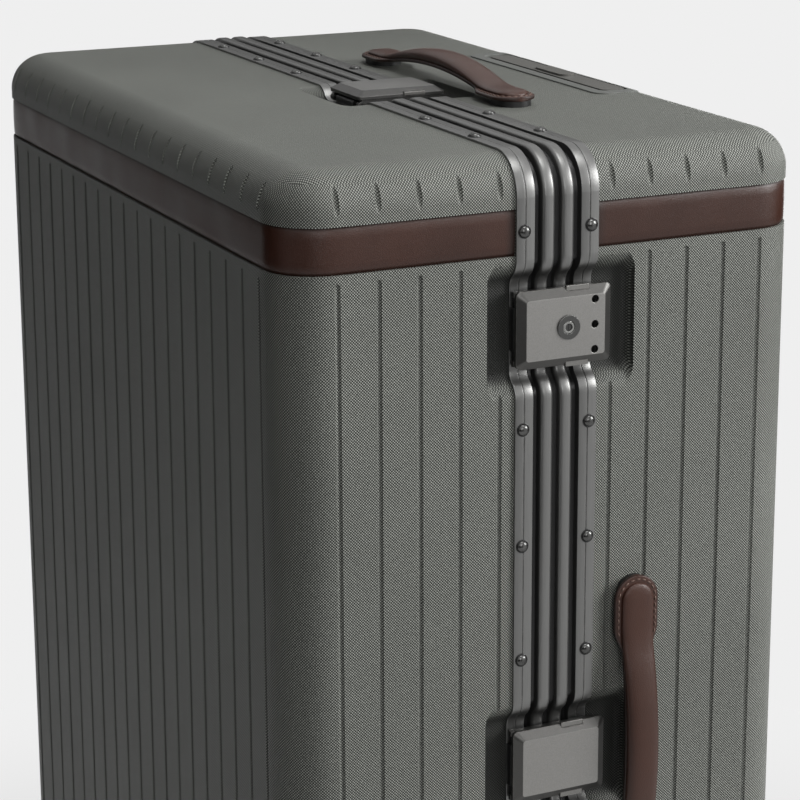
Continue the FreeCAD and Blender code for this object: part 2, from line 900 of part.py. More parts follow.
# Trolley handle: a tray in the top of the back shell, two telescopic legs and the grip with its button
def trolley_tube(width, depth, radius, z0, z1):
    outer = rounded_bar(width, depth, radius, z0, z1)
    hole = rounded_bar(width - 2 * tube_wall, depth - 2 * tube_wall, radius - tube_wall, z0, z1)
    tube = outer.cut(hole)
    legs = [moved(tube, side * tube_spacing / 2, trolley_y, 0) for side in (-1, 1)]
    return Part.makeCompound(legs)


def tube_size(stage):
    step = 2 * (tube_wall + tube_clearance) * stage
    return tube_width - step, tube_depth - step, tube_round - step / 4


def tube_foot():
    # The outer tubes end just above the floor of the shell, clear of the curve at its back edge
    curve = edge_radius - shell_wall
    overhang = max(0.0, trolley_y + tube_depth / 2 - half_depth + edge_radius)
    return bottom + shell_wall + curve - math.sqrt(curve ** 2 - overhang ** 2) + tube_foot_gap


def make_trolley():
    tray = trolley_length - 2 * trolley_rim_x
    tray_width = trolley_width - trolley_rim_front - trolley_rim_back
    tray_y = trolley_y + (trolley_rim_front - trolley_rim_back) / 2
    rim_top = top + trolley_rise
    bezel = trolley_block(bezel_bottom, rim_top, 0.0).common(case_block(trolley_rise))
    cuts = [moved(rounded_bar(tray, tray_width, grip_round, tray_floor, rim_top), 0, tray_y, 0)]
    width, depth, radius = tube_size(1)
    slack = 2 * tube_clearance
    hole = rounded_bar(width + slack, depth + slack, radius, bezel_bottom, tray_floor)
    for side in (-1, 1):
        cuts.append(moved(hole, side * tube_spacing / 2, trolley_y, 0))
    save("trolley_bezel", bezel.cut(cuts))

    stage_length = tube_travel + tube_overlap
    save("trolley_outer_tubes", trolley_tube(*tube_size(0), tube_foot(), bezel_bottom))
    save("trolley_middle_tubes", trolley_tube(*tube_size(1), bezel_bottom - stage_length, tray_floor))
    grip_bottom = tray_floor + grip_seat_gap
    save("trolley_inner_tubes", trolley_tube(*tube_size(2), grip_bottom - stage_length, grip_bottom))

    grip_top = rim_top - grip_sink
    grip_length = tray - 2 * grip_trench
    grip_width = tray_width - grip_trench - grip_clearance
    grip_y = tray_y + (grip_trench - grip_clearance) / 2
    grip = rounded_bar(grip_length, grip_width, grip_round - grip_clearance, grip_bottom, grip_top)
    button_top = grip_top + button_proud
    well_floor = button_top - button_height - button_travel - button_clearance
    well = rounded_bar(button_length + 2 * button_clearance, button_width + 2 * button_clearance,
                       button_width / 2 - button_clearance, well_floor, button_top)
    button = rounded_bar(button_length, button_width, button_width / 2 - 2 * button_clearance,
                         button_top - button_height, button_top)
    grip = moved(grip.cut(well), 0, grip_y, 0)
    save("trolley_grip", grip.common(case_block(trolley_rise - grip_sink)))
    save("trolley_button", moved(button, 0, grip_y, 0))


# Spinner casters: cup and boss, fork with its stem and axle, and a pair of wheels
def caster_cup():
    disc = Part.makeCone(cup_radius - cup_taper, cup_radius, cup_thick, V(0, 0, cup_bottom))
    boss = rod(boss_radius, V(0, 0, bottom), V(0, 0, 1), boss_height)
    bore_top = bottom + boss_height - boss_cap
    bore = rod(stem_radius + running_clearance, V(0, 0, cup_bottom), V(0, 0, 1), bore_top - cup_bottom)
    return disc.fuse(boss).removeSplitter().cut(bore)


def caster_fork():
    crown = rod(crown_radius, V(0, 0, crown_bottom), V(0, 0, 1), crown_thick)
    stem_top = bottom + boss_height - boss_cap - stem_top_gap
    stem = rod(stem_radius, V(0, 0, crown_bottom), V(0, 0, 1), stem_top - crown_bottom)
    half = fork_arm_width / 2
    reach = fork_arm_depth / 2
    arm = box(-half, half, wheel_trail - reach, wheel_trail + reach, wheel_radius, crown_bottom)
    hub = rod(reach, V(-half, wheel_trail, wheel_radius), V(1, 0, 0), fork_arm_width)
    side = half + 2 * wheel_gap + wheel_width
    axle = rod(axle_radius, V(-side, wheel_trail, wheel_radius), V(1, 0, 0), 2 * side)
    left = rod(axle_head_radius, V(-side - axle_head, wheel_trail, wheel_radius), V(1, 0, 0), axle_head)
    right = rod(axle_head_radius, V(side, wheel_trail, wheel_radius), V(1, 0, 0), axle_head)
    return fused([crown, stem, arm, hub, axle, left, right])


def caster_wheels():
    pair = []
    near = fork_arm_width / 2 + wheel_gap
    for x in (near, -near - wheel_width):
        centre = V(x, wheel_trail, wheel_radius)
        disc = rod(wheel_radius, centre, V(1, 0, 0), wheel_width)
        rims = [edge for edge in disc.Edges if isinstance(edge.Curve, Part.Circle)]
        bore = rod(axle_radius + running_clearance, centre, V(1, 0, 0), wheel_width)
        pair.append(disc.makeFillet(wheel_edge_round, rims).cut(bore))
    return Part.makeCompound(pair)


def make_casters():
    for half, side in (("front", -1), ("back", 1)):
        places = caster_places(side)
        save(half + "_caster_cups", Part.makeCompound([moved(caster_cup(), c.x, c.y, 0) for c in places]))
        for hand, c in zip(("left", "right"), places):
            save(half + "_" + hand + "_caster_fork", moved(caster_fork(), c.x, c.y, 0))
            save(half + "_" + hand + "_caster_wheels", moved(caster_wheels(), c.x, c.y, 0))


make_shells()
make_bands()
make_frames()
make_linings()
make_straps()
make_latches()
make_hinges()
make_handles()
make_trolley()
make_casters()
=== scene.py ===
import json
import math

import bmesh
import bpy
from mathutils import Matrix, Vector
from mathutils.bvhtree import BVHTree


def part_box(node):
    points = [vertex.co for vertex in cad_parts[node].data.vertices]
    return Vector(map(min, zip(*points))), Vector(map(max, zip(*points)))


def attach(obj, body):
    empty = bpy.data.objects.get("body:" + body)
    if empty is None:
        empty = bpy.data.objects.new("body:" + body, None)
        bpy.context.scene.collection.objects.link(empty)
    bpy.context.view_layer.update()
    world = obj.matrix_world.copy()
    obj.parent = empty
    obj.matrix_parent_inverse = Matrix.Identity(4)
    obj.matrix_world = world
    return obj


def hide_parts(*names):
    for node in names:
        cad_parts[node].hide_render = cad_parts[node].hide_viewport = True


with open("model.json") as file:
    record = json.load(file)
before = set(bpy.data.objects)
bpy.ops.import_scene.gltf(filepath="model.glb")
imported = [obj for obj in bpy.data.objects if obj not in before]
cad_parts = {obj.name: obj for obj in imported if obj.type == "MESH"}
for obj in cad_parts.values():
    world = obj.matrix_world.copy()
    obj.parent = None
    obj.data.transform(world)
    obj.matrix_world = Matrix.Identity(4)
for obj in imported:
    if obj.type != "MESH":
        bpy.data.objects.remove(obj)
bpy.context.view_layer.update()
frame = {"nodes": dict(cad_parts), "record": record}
nodes = frame["nodes"]
scene = bpy.context.scene
print("frame loaded:", len(nodes), "nodes")

# Sizes of the case that the dressing follows, in metres: the faces come from the frame
shellLow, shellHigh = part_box("front_shell")
halfWidth = shellHigh.x
halfDepth = -shellLow.y
shellTop = shellHigh.z
shellBottom = shellLow.z
shellMiddle = (shellTop + shellBottom) / 2
cornerRadius = 0.030  # upright corners
edgeRadius = 0.022  # edges round the top and the bottom


# Small tools for node trees
def feed(tree, node, inputs):
    # Links each socket that is given, and sets each plain value
    for key, value in inputs.items():
        if isinstance(value, bpy.types.NodeSocket):
            tree.links.new(value, node.inputs[key])
        else:
            node.inputs[key].default_value = value


def put(tree, kind, inputs=None, **settings):
    node = tree.nodes.new(kind)
    for key, value in settings.items():
        setattr(node, key, value)
    feed(tree, node, inputs or {})
    return node


def calc(tree, operation, *values, clamp=False):
    node = put(tree, "ShaderNodeMath", dict(enumerate(values)), operation=operation, use_clamp=clamp)
    return node.outputs[0]


def blendValue(tree, factor, low, high):
    return put(tree, "ShaderNodeMix", {0: factor, 2: low, 3: high}, data_type="FLOAT").outputs[0]


def blendColor(tree, factor, low, high, how="MIX"):
    mixer = put(tree, "ShaderNodeMix", {0: factor, 6: low, 7: high}, data_type="RGBA", blend_type=how)
    return mixer.outputs[2]


def spread(tree, value, fromLow, fromHigh, toLow=0, toHigh=1):
    inputs = {0: value, 1: fromLow, 2: fromHigh, 3: toLow, 4: toHigh}
    return put(tree, "ShaderNodeMapRange", inputs).outputs[0]


def axes(tree, vector):
    return put(tree, "ShaderNodeSeparateXYZ", {0: vector}).outputs


def noise(tree, where, scale, detail=2.0):
    return put(tree, "ShaderNodeTexNoise", {"Vector": where, "Scale": scale, "Detail": detail}).outputs


def fullNoise(tree, where, scale, detail=2.0):
    # Noise stretched until it fills 0 to 1
    return spread(tree, noise(tree, where, scale, detail)[0], 0.3, 0.7)


def objectPlace(tree):
    return put(tree, "ShaderNodeTexCoord").outputs["Object"]


def rgba(color):
    return (color[0], color[1], color[2], 1.0)


def grey(level):
    return (level, level, level)


def tint(tree, color, mask, amount, toward):
    # Moves a colour towards another one where the mask is set
    return blendColor(tree, calc(tree, "MULTIPLY", mask, amount), color, rgba(toward))


def startGroup(name, inputs, outputs):
    # Every input is a value with its default; an output named Normal is a direction, the others are values
    tree = bpy.data.node_groups.new(name, "ShaderNodeTree")
    for label, value in inputs.items():
        socket = tree.interface.new_socket(label, in_out="INPUT", socket_type="NodeSocketFloat")
        socket.default_value = value
    for label in outputs:
        kind = "NodeSocketVector" if label == "Normal" else "NodeSocketFloat"
        tree.interface.new_socket(label, in_out="OUTPUT", socket_type=kind)
    return tree, tree.nodes.new("NodeGroupInput").outputs, tree.nodes.new("NodeGroupOutput")


def useGroup(tree, group, **inputs):
    return put(tree, "ShaderNodeGroup", inputs, node_tree=group).outputs


# Shared surface effects
topFacing = 0.72  # a face whose normal rises more than this counts as top or bottom


def faceAxes(tree, where, across):
    # Two directions in the face: across and up on the sides, x and y on top and bottom
    place = axes(tree, where["Object"])
    rise = calc(tree, "ABSOLUTE", axes(tree, where["Normal"])[2])
    onTop = calc(tree, "GREATER_THAN", rise, topFacing)
    return blendValue(tree, onTop, across, place[0]), blendValue(tree, onTop, place[2], place[1])


def waves(tree, kind, values, turn):
    return [calc(tree, kind, calc(tree, "MULTIPLY", value, turn)) for value in values]


# The weave's raised dots are painted light and its hollows dark: painted highlight and painted shade
grainShade = (0.42, 0.82)  # heights between which the weave goes from dark to light


def makeDiamondGrain():
    tree, given, result = startGroup("diamondGrain", {"Pitch": 0.0017}, ("Height", "Shade"))
    where = put(tree, "ShaderNodeTexCoord").outputs
    # Round the sides the pattern is unrolled, so that it turns the upright corners without a break
    x, y = (calc(tree, "ABSOLUTE", value) for value in axes(tree, where["Object"])[:2])
    flatX, flatY = halfWidth - cornerRadius, halfDepth - cornerRadius
    beyondX = calc(tree, "MAXIMUM", calc(tree, "SUBTRACT", x, flatX), 0.0)
    beyondY = calc(tree, "MAXIMUM", calc(tree, "SUBTRACT", y, flatY), 0.0)
    bend = calc(tree, "MULTIPLY", calc(tree, "ARCTAN2", beyondY, beyondX), cornerRadius)
    runX = calc(tree, "SUBTRACT", flatX, calc(tree, "MINIMUM", x, flatX))
    across = calc(tree, "ADD", calc(tree, "ADD", calc(tree, "MINIMUM", y, flatY), bend), runX)
    turn = calc(tree, "DIVIDE", 2 * math.pi, given["Pitch"])
    product = calc(tree, "MULTIPLY", *waves(tree, "COSINE", faceAxes(tree, where, across), turn))
    height = spread(tree, product, -1, 1)
    # Painted highlight on the raised dots and painted shade between them, from the weave's height
    feed(tree, result, {"Height": height, "Shade": spread(tree, height, *grainShade)})
    return tree


def makeSurfaceDrift():
    # Slow and fine unevenness for colour, gloss and bump
    tree, given, result = startGroup("surfaceDrift", {"Scale": 6.0, "Fine": 400.0}, ("Slow", "Fine"))
    where = objectPlace(tree)
    feed(tree, result, {"Slow": fullNoise(tree, where, given["Scale"], 3.0),
                        "Fine": fullNoise(tree, where, given["Fine"])})
    return tree


wearLook = {"samples": 4, "turn": (0.995, 0.9), "patches": 180.0, "patchSpan": (0.35, 0.6), "least": 0.2}


def makeEdgeWear():
    # A mask along edges, broken up by noise, and the normal of the softened edge
    look = wearLook
    tree, given, result = startGroup("edgeWear", {"Radius": 0.0008}, ("Mask", "Normal"))
    soft = put(tree, "ShaderNodeBevel", {"Radius": given["Radius"]}, samples=look["samples"]).outputs[0]
    flat = put(tree, "ShaderNodeNewGeometry").outputs["Normal"]
    along = put(tree, "ShaderNodeVectorMath", {0: soft, 1: flat}, operation="DOT_PRODUCT").outputs["Value"]
    edge = spread(tree, along, *look["turn"])
    cloud = noise(tree, objectPlace(tree), look["patches"], 4.0)[0]
    patches = spread(tree, cloud, *look["patchSpan"], look["least"], 1)
    feed(tree, result, {"Mask": calc(tree, "MULTIPLY", edge, patches), "Normal": soft})
    return tree


hideLook = {"warp": 260.0, "drag": 0.0012, "crease": 0.25, "pores": 2600.0, "poreShare": 0.25,
            "clouds": 22.0, "pebbleTone": 0.3}


def makeHideGrain():
    # Leather: small pebbles with creases between them, pores, and slow shifts of colour
    look = hideLook
    tree, given, result = startGroup("hideGrain", {"Scale": 900.0}, ("Height", "Tone"))
    where = objectPlace(tree)
    warp = noise(tree, where, look["warp"])["Color"]
    drag = put(tree, "ShaderNodeVectorMath", {0: warp, 3: look["drag"]}, operation="SCALE").outputs[0]
    bent = put(tree, "ShaderNodeVectorMath", {0: where, 1: drag}, operation="ADD").outputs[0]
    cells = put(tree, "ShaderNodeTexVoronoi", {"Vector": bent, "Scale": given["Scale"]},
                feature="DISTANCE_TO_EDGE")
    pebble = spread(tree, cells.outputs["Distance"], 0.0, look["crease"])
    pores = noise(tree, where, look["pores"])[0]
    clouds = fullNoise(tree, where, look["clouds"], 5.0)
    feed(tree, result, {"Height": blendValue(tree, look["poreShare"], pebble, pores),
                        "Tone": blendValue(tree, look["pebbleTone"], clouds, pebble)})
    return tree


weaveFuzz = {"scale": 1500.0, "share": 0.4}


def makeClothWeave():
    # Over-and-under threads in two directions, on whichever two axes lie in the face
    tree, given, result = startGroup("clothWeave", {"Pitch": 0.0012}, ("Height", "Tone"))
    where = put(tree, "ShaderNodeTexCoord").outputs
    place = axes(tree, where["Object"])
    nx, ny = (calc(tree, "ABSOLUTE", value) for value in axes(tree, where["Normal"])[:2])
    across = blendValue(tree, calc(tree, "GREATER_THAN", nx, ny), place[0], place[1])
    turn = calc(tree, "DIVIDE", math.pi, given["Pitch"])
    waveU, waveV = waves(tree, "SINE", faceAxes(tree, where, across), turn)
    over = calc(tree, "GREATER_THAN", calc(tree, "MULTIPLY", waveU, waveV), 0.0)
    thread = blendValue(tree, over, calc(tree, "ABSOLUTE", waveU), calc(tree, "ABSOLUTE", waveV))
    fuzz = noise(tree, where["Object"], weaveFuzz["scale"])[0]
    feed(tree, result, {"Height": thread, "Tone": blendValue(tree, weaveFuzz["share"], thread, fuzz)})
    return tree


diamondGrain = makeDiamondGrain()
surfaceDrift = makeSurfaceDrift()
edgeWear = makeEdgeWear()
hideGrain = makeHideGrain()
clothWeave = makeClothWeave()
print("surface effects ready")


# Materials
def startTree(holder):
    holder.use_nodes = True
    holder.node_tree.nodes.clear()
    return holder.node_tree


def startMaterial(name):
    material = bpy.data.materials.new(name)
    tree = startTree(material)
    shader = put(tree, "ShaderNodeBsdfPrincipled")
    put(tree, "ShaderNodeOutputMaterial", {0: shader.outputs[0]})
    return material, tree, shader


def addBump(tree, height, distance, strength=1.0, normal=None):
    node = put(tree, "ShaderNodeBump", {"Height": height, "Distance": distance, "Strength": strength})
    if normal:
        tree.links.new(normal, node.inputs["Normal"])
    return node.outputs[0]


def readMask(tree, name):
    return put(tree, "ShaderNodeAttribute", attribute_name=name).outputs["Fac"]


shellLook = {"dark": (0.034, 0.036, 0.032), "light": (0.490, 0.505, 0.460), "pitch": 0.00165,
             "patches": 7.0, "patchShare": 0.10, "fine": 1400.0,
             "roughness": (0.38, 0.52), "gloss": 0.25, "bump": 0.00032, "bumpStrength": 0.8,
             "recessShade": (0.006, 0.0065, 0.006), "recessLimit": 0.014,
             "grooveDepth": (0.0002, 0.0008), "grooveShade": 0.3,
             "pocketDepth": (0.0025, 0.0068), "pocketShade": 0.86}


def paintedRecessShade(tree):
    # Painted shade in the shell's hollows: from how far a point lies under its flat faces, grooves are
    # darkened a little and latch pockets a lot
    look = shellLook
    place = axes(tree, objectPlace(tree))
    downX = calc(tree, "SUBTRACT", halfWidth, calc(tree, "ABSOLUTE", place[0]))
    downY = calc(tree, "SUBTRACT", halfDepth, calc(tree, "ABSOLUTE", place[1]))
    downZ = calc(tree, "SUBTRACT", shellTop, place[2])
    upZ = calc(tree, "SUBTRACT", place[2], shellBottom)
    depth = 0.0
    for down, others in ((downX, ((downY, cornerRadius), (downZ, edgeRadius), (upZ, edgeRadius))),
                         (downY, ((downX, cornerRadius), (downZ, edgeRadius), (upZ, edgeRadius))),
                         (downZ, ((downX, edgeRadius), (downY, edgeRadius)))):
        for other, margin in others:
            down = calc(tree, "MULTIPLY", down, calc(tree, "GREATER_THAN", other, margin))
        near = calc(tree, "LESS_THAN", down, look["recessLimit"])
        depth = calc(tree, "MAXIMUM", depth, calc(tree, "MULTIPLY", down, near))
    # Painted shade: a little in the grooves, nearly black on the floors of the latch pockets
    groove = calc(tree, "MULTIPLY", spread(tree, depth, *look["grooveDepth"]), look["grooveShade"])
    pocket = calc(tree, "MULTIPLY", spread(tree, depth, *look["pocketDepth"]), look["pocketShade"])
    return calc(tree, "MAXIMUM", groove, pocket)


def makeShellMaterial():
    look = shellLook
    material, tree, shader = startMaterial("ribbedShell")
    grain = useGroup(tree, diamondGrain, Pitch=look["pitch"])
    drift = useGroup(tree, surfaceDrift, Scale=look["patches"], Fine=look["fine"])
    # The shell's colour runs from painted shade in the weave's hollows to painted highlight on its raised
    # dots
    color = blendColor(tree, grain["Shade"], rgba(look["dark"]), rgba(look["light"]))
    color = blendColor(tree, look["patchShare"], color, drift["Slow"], "OVERLAY")
    # Paints the shade of the grooves and latch pockets into the colour
    color = blendColor(tree, paintedRecessShade(tree), color, rgba(look["recessShade"]))
    feed(tree, shader, {
        "Base Color": color,
        "Roughness": blendValue(tree, drift["Fine"], *look["roughness"]),
        "Specular IOR Level": look["gloss"],
        "Normal": addBump(tree, grain["Height"], look["bump"], look["bumpStrength"]),
    })
    return material


frameLook = {"base": (0.185, 0.185, 0.181), "worn": (0.42, 0.42, 0.41), "wearShare": 0.6, "edge": 0.0006,
             "channel": grey(0.010), "channelSpan": (0.00965, 0.0140), "channelEdge": (0.0002, 0.0001),
             "metallic": 0.9, "roughness": (0.32, 0.46), "drawn": (60.0, 5200.0, 60.0),
             "drawnShare": 0.18, "drawnBump": 0.00002,
             "crown": 0.0005, "ridge": (0.0058, 0.0038), "flange": (0.0194, 0.0054)}


def makeFrameMaterial():
    # Anodised aluminium, drawn along the seam, with each channel painted near black and not metallic
    look = frameLook
    material, tree, shader = startMaterial("frameAluminium")
    where = objectPlace(tree)
    stretched = put(tree, "ShaderNodeVectorMath", {0: where, 1: look["drawn"]}, operation="MULTIPLY")
    drawn = noise(tree, stretched.outputs[0], 1.0)[0]
    away = calc(tree, "ABSOLUTE", axes(tree, where)[1])
    low, high = look["channelSpan"]
    outer, inner = look["channelEdge"]
    inChannel = calc(tree, "MULTIPLY", spread(tree, away, low - outer, low + inner),
                     spread(tree, away, high - inner, high + outer, 1, 0))
    # Ridges and flanges are slightly crowned, so that the light runs off towards their edges
    hollows = []
    for centre, half in (look["ridge"], look["flange"]):
        aside = calc(tree, "DIVIDE", calc(tree, "SUBTRACT", away, centre), half)
        hollows.append(calc(tree, "MULTIPLY", aside, aside))
    crown = calc(tree, "SUBTRACT", 1.0, calc(tree, "MINIMUM", *hollows))
    wear = useGroup(tree, edgeWear, Radius=look["edge"])
    crowned = addBump(tree, crown, look["crown"], 1.0, wear["Normal"])
    color = tint(tree, rgba(look["base"]), wear["Mask"], look["wearShare"], look["worn"])
    color = blendColor(tree, look["drawnShare"], color, drawn, "OVERLAY")
    color = blendColor(tree, inChannel, color, rgba(look["channel"]))
    metallic = look["metallic"]
    feed(tree, shader, {
        "Base Color": color,
        "Metallic": calc(tree, "SUBTRACT", metallic, calc(tree, "MULTIPLY", inChannel, metallic)),
        "Roughness": blendValue(tree, drawn, *look["roughness"]),
        "Normal": addBump(tree, drawn, look["drawnBump"], 0.5, crowned),
    })
    return material


metalLook = {"patches": 30.0, "edge": 0.0006, "grainShare": 0.10, "bump": 0.00003,
             "plateRimShade": 0.34, "plateFace": (0.9, 0.97)}


def makeMetal(name, base, worn, roughness, metallic=0.9, grain=2400.0, wearShare=0.7, faceAxis=None):
    # Satin metal with a blasted grain and edges rubbed bright; with a face axis, a plate's bevelled rim is
    # painted darker than its face, as painted shade and painted dark reflection
    look = metalLook
    material, tree, shader = startMaterial(name)
    drift = useGroup(tree, surfaceDrift, Scale=look["patches"], Fine=grain)
    wear = useGroup(tree, edgeWear, Radius=look["edge"])
    body = rgba(base)
    # Painted shade and dark reflection: faces turned away from the face axis take a darker colour
    if faceAxis is not None:
        turned = axes(tree, put(tree, "ShaderNodeTexCoord").outputs["Normal"])
        facing = spread(tree, turned[faceAxis], *look["plateFace"])
        body = blendColor(tree, facing, rgba([look["plateRimShade"] * part for part in base]), rgba(base))
    color = tint(tree, body, wear["Mask"], wearShare, worn)
    color = blendColor(tree, look["grainShare"], color, drift["Fine"], "OVERLAY")
    feed(tree, shader, {
        "Base Color": color,
        "Metallic": metallic,
        "Roughness": blendValue(tree, drift["Slow"], *roughness),
        "Normal": addBump(tree, drift["Fine"], look["bump"], 0.6, wear["Normal"]),
    })
    return material


# The marked places hold painted shade, so they lose the shine of metal
ringMetallic = (0.95, 0.05)  # outside the marked ring and in it


def paintMarkedShade(tree, color, depth):
    # Paints shade where the "ring" attribute marks: darkens it and takes the shine of metal off it
    ring = readMask(tree, "ring")
    return {"Base Color": blendColor(tree, ring, color, rgba(depth)),
            "Metallic": blendValue(tree, ring, *ringMetallic)}


# The ring colour is painted shade round each head's foot
rivetTones = {"dark": (0.07, 0.07, 0.068), "light": (0.12, 0.12, 0.117), "ring": grey(0.015),
              "patches": 300.0, "fine": 3000.0, "roughness": (0.2, 0.3), "bump": 0.00002}


def makeRivetMaterial():
    # Polished heads; the ring in which each one sits is painted near black and matt, as painted shade round
    # its foot
    look = rivetTones
    material, tree, shader = startMaterial("rivetMetal")
    drift = useGroup(tree, surfaceDrift, Scale=look["patches"], Fine=look["fine"])
    color = blendColor(tree, drift["Slow"], rgba(look["dark"]), rgba(look["light"]))
    feed(tree, shader, paintMarkedShade(tree, color, look["ring"]))
    feed(tree, shader, {
        "Roughness": blendValue(tree, drift["Fine"], *look["roughness"]),
        "Normal": addBump(tree, drift["Fine"], look["bump"], 0.4),
    })
    return material


plugTones = {"dark": (0.22, 0.22, 0.21), "light": (0.34, 0.34, 0.33), "worn": (0.55, 0.55, 0.54),
             "wearShare": 0.7, "edge": 0.0003, "keywayShade": grey(0.012),
             "patches": 120.0, "fine": 3500.0, "roughness": (0.26, 0.4), "bump": 0.00002}


def makeTurnedSteel():
    # Bright steel of the key plugs, with painted shade on the sunk face and a keyway painted black as the
    # shade in its depth
    look = plugTones
    material, tree, shader = startMaterial("turnedSteel")
    drift = useGroup(tree, surfaceDrift, Scale=look["patches"], Fine=look["fine"])
    wear = useGroup(tree, edgeWear, Radius=look["edge"])
    color = blendColor(tree, drift["Slow"], rgba(look["dark"]), rgba(look["light"]))
    color = tint(tree, color, wear["Mask"], look["wearShare"], look["worn"])
    feed(tree, shader, paintMarkedShade(tree, color, look["keywayShade"]))
    feed(tree, shader, {
        "Roughness": blendValue(tree, drift["Fine"], *look["roughness"]),
        "Normal": addBump(tree, drift["Fine"], look["bump"], 0.5, wear["Normal"]),
    })
    return material


leatherLook = {"deep": (0.014, 0.0045, 0.0025), "body": (0.054, 0.0172, 0.0090),
               "worn": (0.125, 0.052, 0.031), "toneShare": 0.5, "wearAndSheenShare": 0.12, "rimShare": 0.85,
               "grain": 1100.0, "roughness": (0.31, 0.46), "gloss": 0.42, "bump": 0.00009}


def makeLeatherMaterial():
    # Smooth dark brown hide. One mask darkens the cut edges as painted shade and the bands' edges as painted
    # shadow in the gaps beside them; another lightens the top of each handle's middle, partly as wear from
    # hands and partly as a painted sheen
    look = leatherLook
    material, tree, shader = startMaterial("brownLeather")
    hide = useGroup(tree, hideGrain, Scale=look["grain"])
    color = blendColor(tree, hide["Tone"], rgba(look["deep"]), rgba(look["body"]))
    color = blendColor(tree, look["toneShare"], rgba(look["body"]), color)
    # Painted sheen on the top of each handle's middle, with wear from hands
    color = tint(tree, color, readMask(tree, "rub"), look["wearAndSheenShare"], look["worn"])
    # Painted shade along the edges, and painted shadow in the gaps beside the bands
    color = tint(tree, color, readMask(tree, "rim"), look["rimShare"], look["deep"])
    feed(tree, shader, {
        "Base Color": color,
        "Roughness": blendValue(tree, hide["Tone"], *look["roughness"]),
        "Specular IOR Level": look["gloss"],
        "Normal": addBump(tree, hide["Height"], look["bump"], 0.55),
    })
    return material


plasticLook = {"patches": 14.0, "wearShare": 0.25, "wearLift": 2.2}


def makePlastic(name, dark, light, roughness, grain=900.0, bump=0.00006, edge=0.0007):
    # Moulded plastic with a spark-eroded grain and softened edges
    look = plasticLook
    material, tree, shader = startMaterial(name)
    drift = useGroup(tree, surfaceDrift, Scale=look["patches"], Fine=grain)
    wear = useGroup(tree, edgeWear, Radius=edge)
    color = blendColor(tree, drift["Slow"], rgba(dark), rgba(light))
    color = tint(tree, color, wear["Mask"], look["wearShare"], [look["wearLift"] * part for part in light])
    feed(tree, shader, {
        "Base Color": color,
        "Roughness": blendValue(tree, drift["Fine"], *roughness),
        "Normal": addBump(tree, drift["Fine"], bump, 0.6, wear["Normal"]),
    })
    return material


clothLook = {"patches": 9.0, "patchShare": 0.15, "rimShare": 0.6, "rimShade": 0.4, "roughness": 0.85}


def makeFabric(name, dark, light, pitch, bump=0.00015, sheen=0.25):
    # Woven cloth: threads over and under, with a soft nap and a darker bound rim
    look = clothLook
    material, tree, shader = startMaterial(name)
    weave = useGroup(tree, clothWeave, Pitch=pitch)
    drift = useGroup(tree, surfaceDrift, Scale=look["patches"])
    color = blendColor(tree, weave["Tone"], rgba(dark), rgba(light))
    color = blendColor(tree, look["patchShare"], color, drift["Slow"], "OVERLAY")
    rimColor = [look["rimShade"] * part for part in dark]
    color = tint(tree, color, readMask(tree, "rim"), look["rimShare"], rimColor)
    feed(tree, shader, {
        "Base Color": color,
        "Roughness": look["roughness"],
        "Sheen Weight": sheen,
        "Normal": addBump(tree, weave["Height"], bump, 0.8),
    })
    return material


# Two tones of each finish, then its roughness from smooth to rough patches
materials = {
    "shell": makeShellMaterial(),
    "frame_metal": makeFrameMaterial(),
    "rivet_metal": makeRivetMaterial(),
    "leather": makeLeatherMaterial(),
    "thread": makePlastic("waxedThread", (0.12, 0.072, 0.056), (0.2, 0.13, 0.104), (0.45, 0.6), 1500.0),
    "seal_rubber": makePlastic("sealRubber", grey(0.012), grey(0.02), (0.55, 0.7), 700.0),
    "lining_fabric": makeFabric("liningCloth", (0.13, 0.122, 0.11), (0.3, 0.285, 0.262), 0.0009),
    "strap_webbing": makeFabric("strapWebbing", grey(0.012), (0.05, 0.05, 0.048), 0.0016, 0.0003, 0.1),
    "dark_metal": makeMetal("blackMetal", grey(0.018), (0.12, 0.12, 0.118), (0.35, 0.5), 0.4),
    "latch_metal": makeMetal("latchMetal", (0.205, 0.201, 0.192), (0.46, 0.45, 0.43), (0.34, 0.42)),
    # Latch plates whose bevelled rims are painted dark, as shade and dark reflection
    "sidePlateShadedRim": makeMetal("sidePlateShadedRim", (0.265, 0.26, 0.25), (0.4, 0.39, 0.37), (0.34, 0.42),
                           wearShare=0.5, faceAxis=0),
    "topPlateShadedRim": makeMetal("topPlateShadedRim", (0.26, 0.257, 0.25), (0.36, 0.35, 0.34), (0.36, 0.44),
                          wearShare=0.5, faceAxis=2),
    "collar": makeMetal("collarMetal", (0.085, 0.085, 0.083), (0.3, 0.3, 0.29), (0.3, 0.4)),
    "lock_steel": makeTurnedSteel(),
    "dial_black": makePlastic("dialBlack", grey(0.006), grey(0.012), (0.14, 0.2), 2000.0, 0.00001, 0.0003),
    "trolley_plastic": makePlastic("trolleyPlastic", (0.15, 0.156, 0.146), (0.18, 0.186, 0.174),
                                   (0.4, 0.52), 1800.0, 0.00003),
    "grip": makePlastic("gripPlastic", (0.12, 0.117, 0.108), (0.145, 0.141, 0.13),
                        (0.38, 0.5), 1800.0, 0.00003),
    "tube_metal": makeMetal("tubeMetal", (0.24, 0.24, 0.235), (0.5, 0.5, 0.49), (0.3, 0.38), 0.95, 1600.0),
    "caster_plastic": makePlastic("casterPlastic", (0.03, 0.031, 0.03), (0.045, 0.047, 0.045), (0.42, 0.56)),
    "wheel_rubber": makePlastic("wheelRubber", grey(0.014), grey(0.026), (0.6, 0.75), 1200.0, 0.00012),
}
print("materials ready:", len(materials))


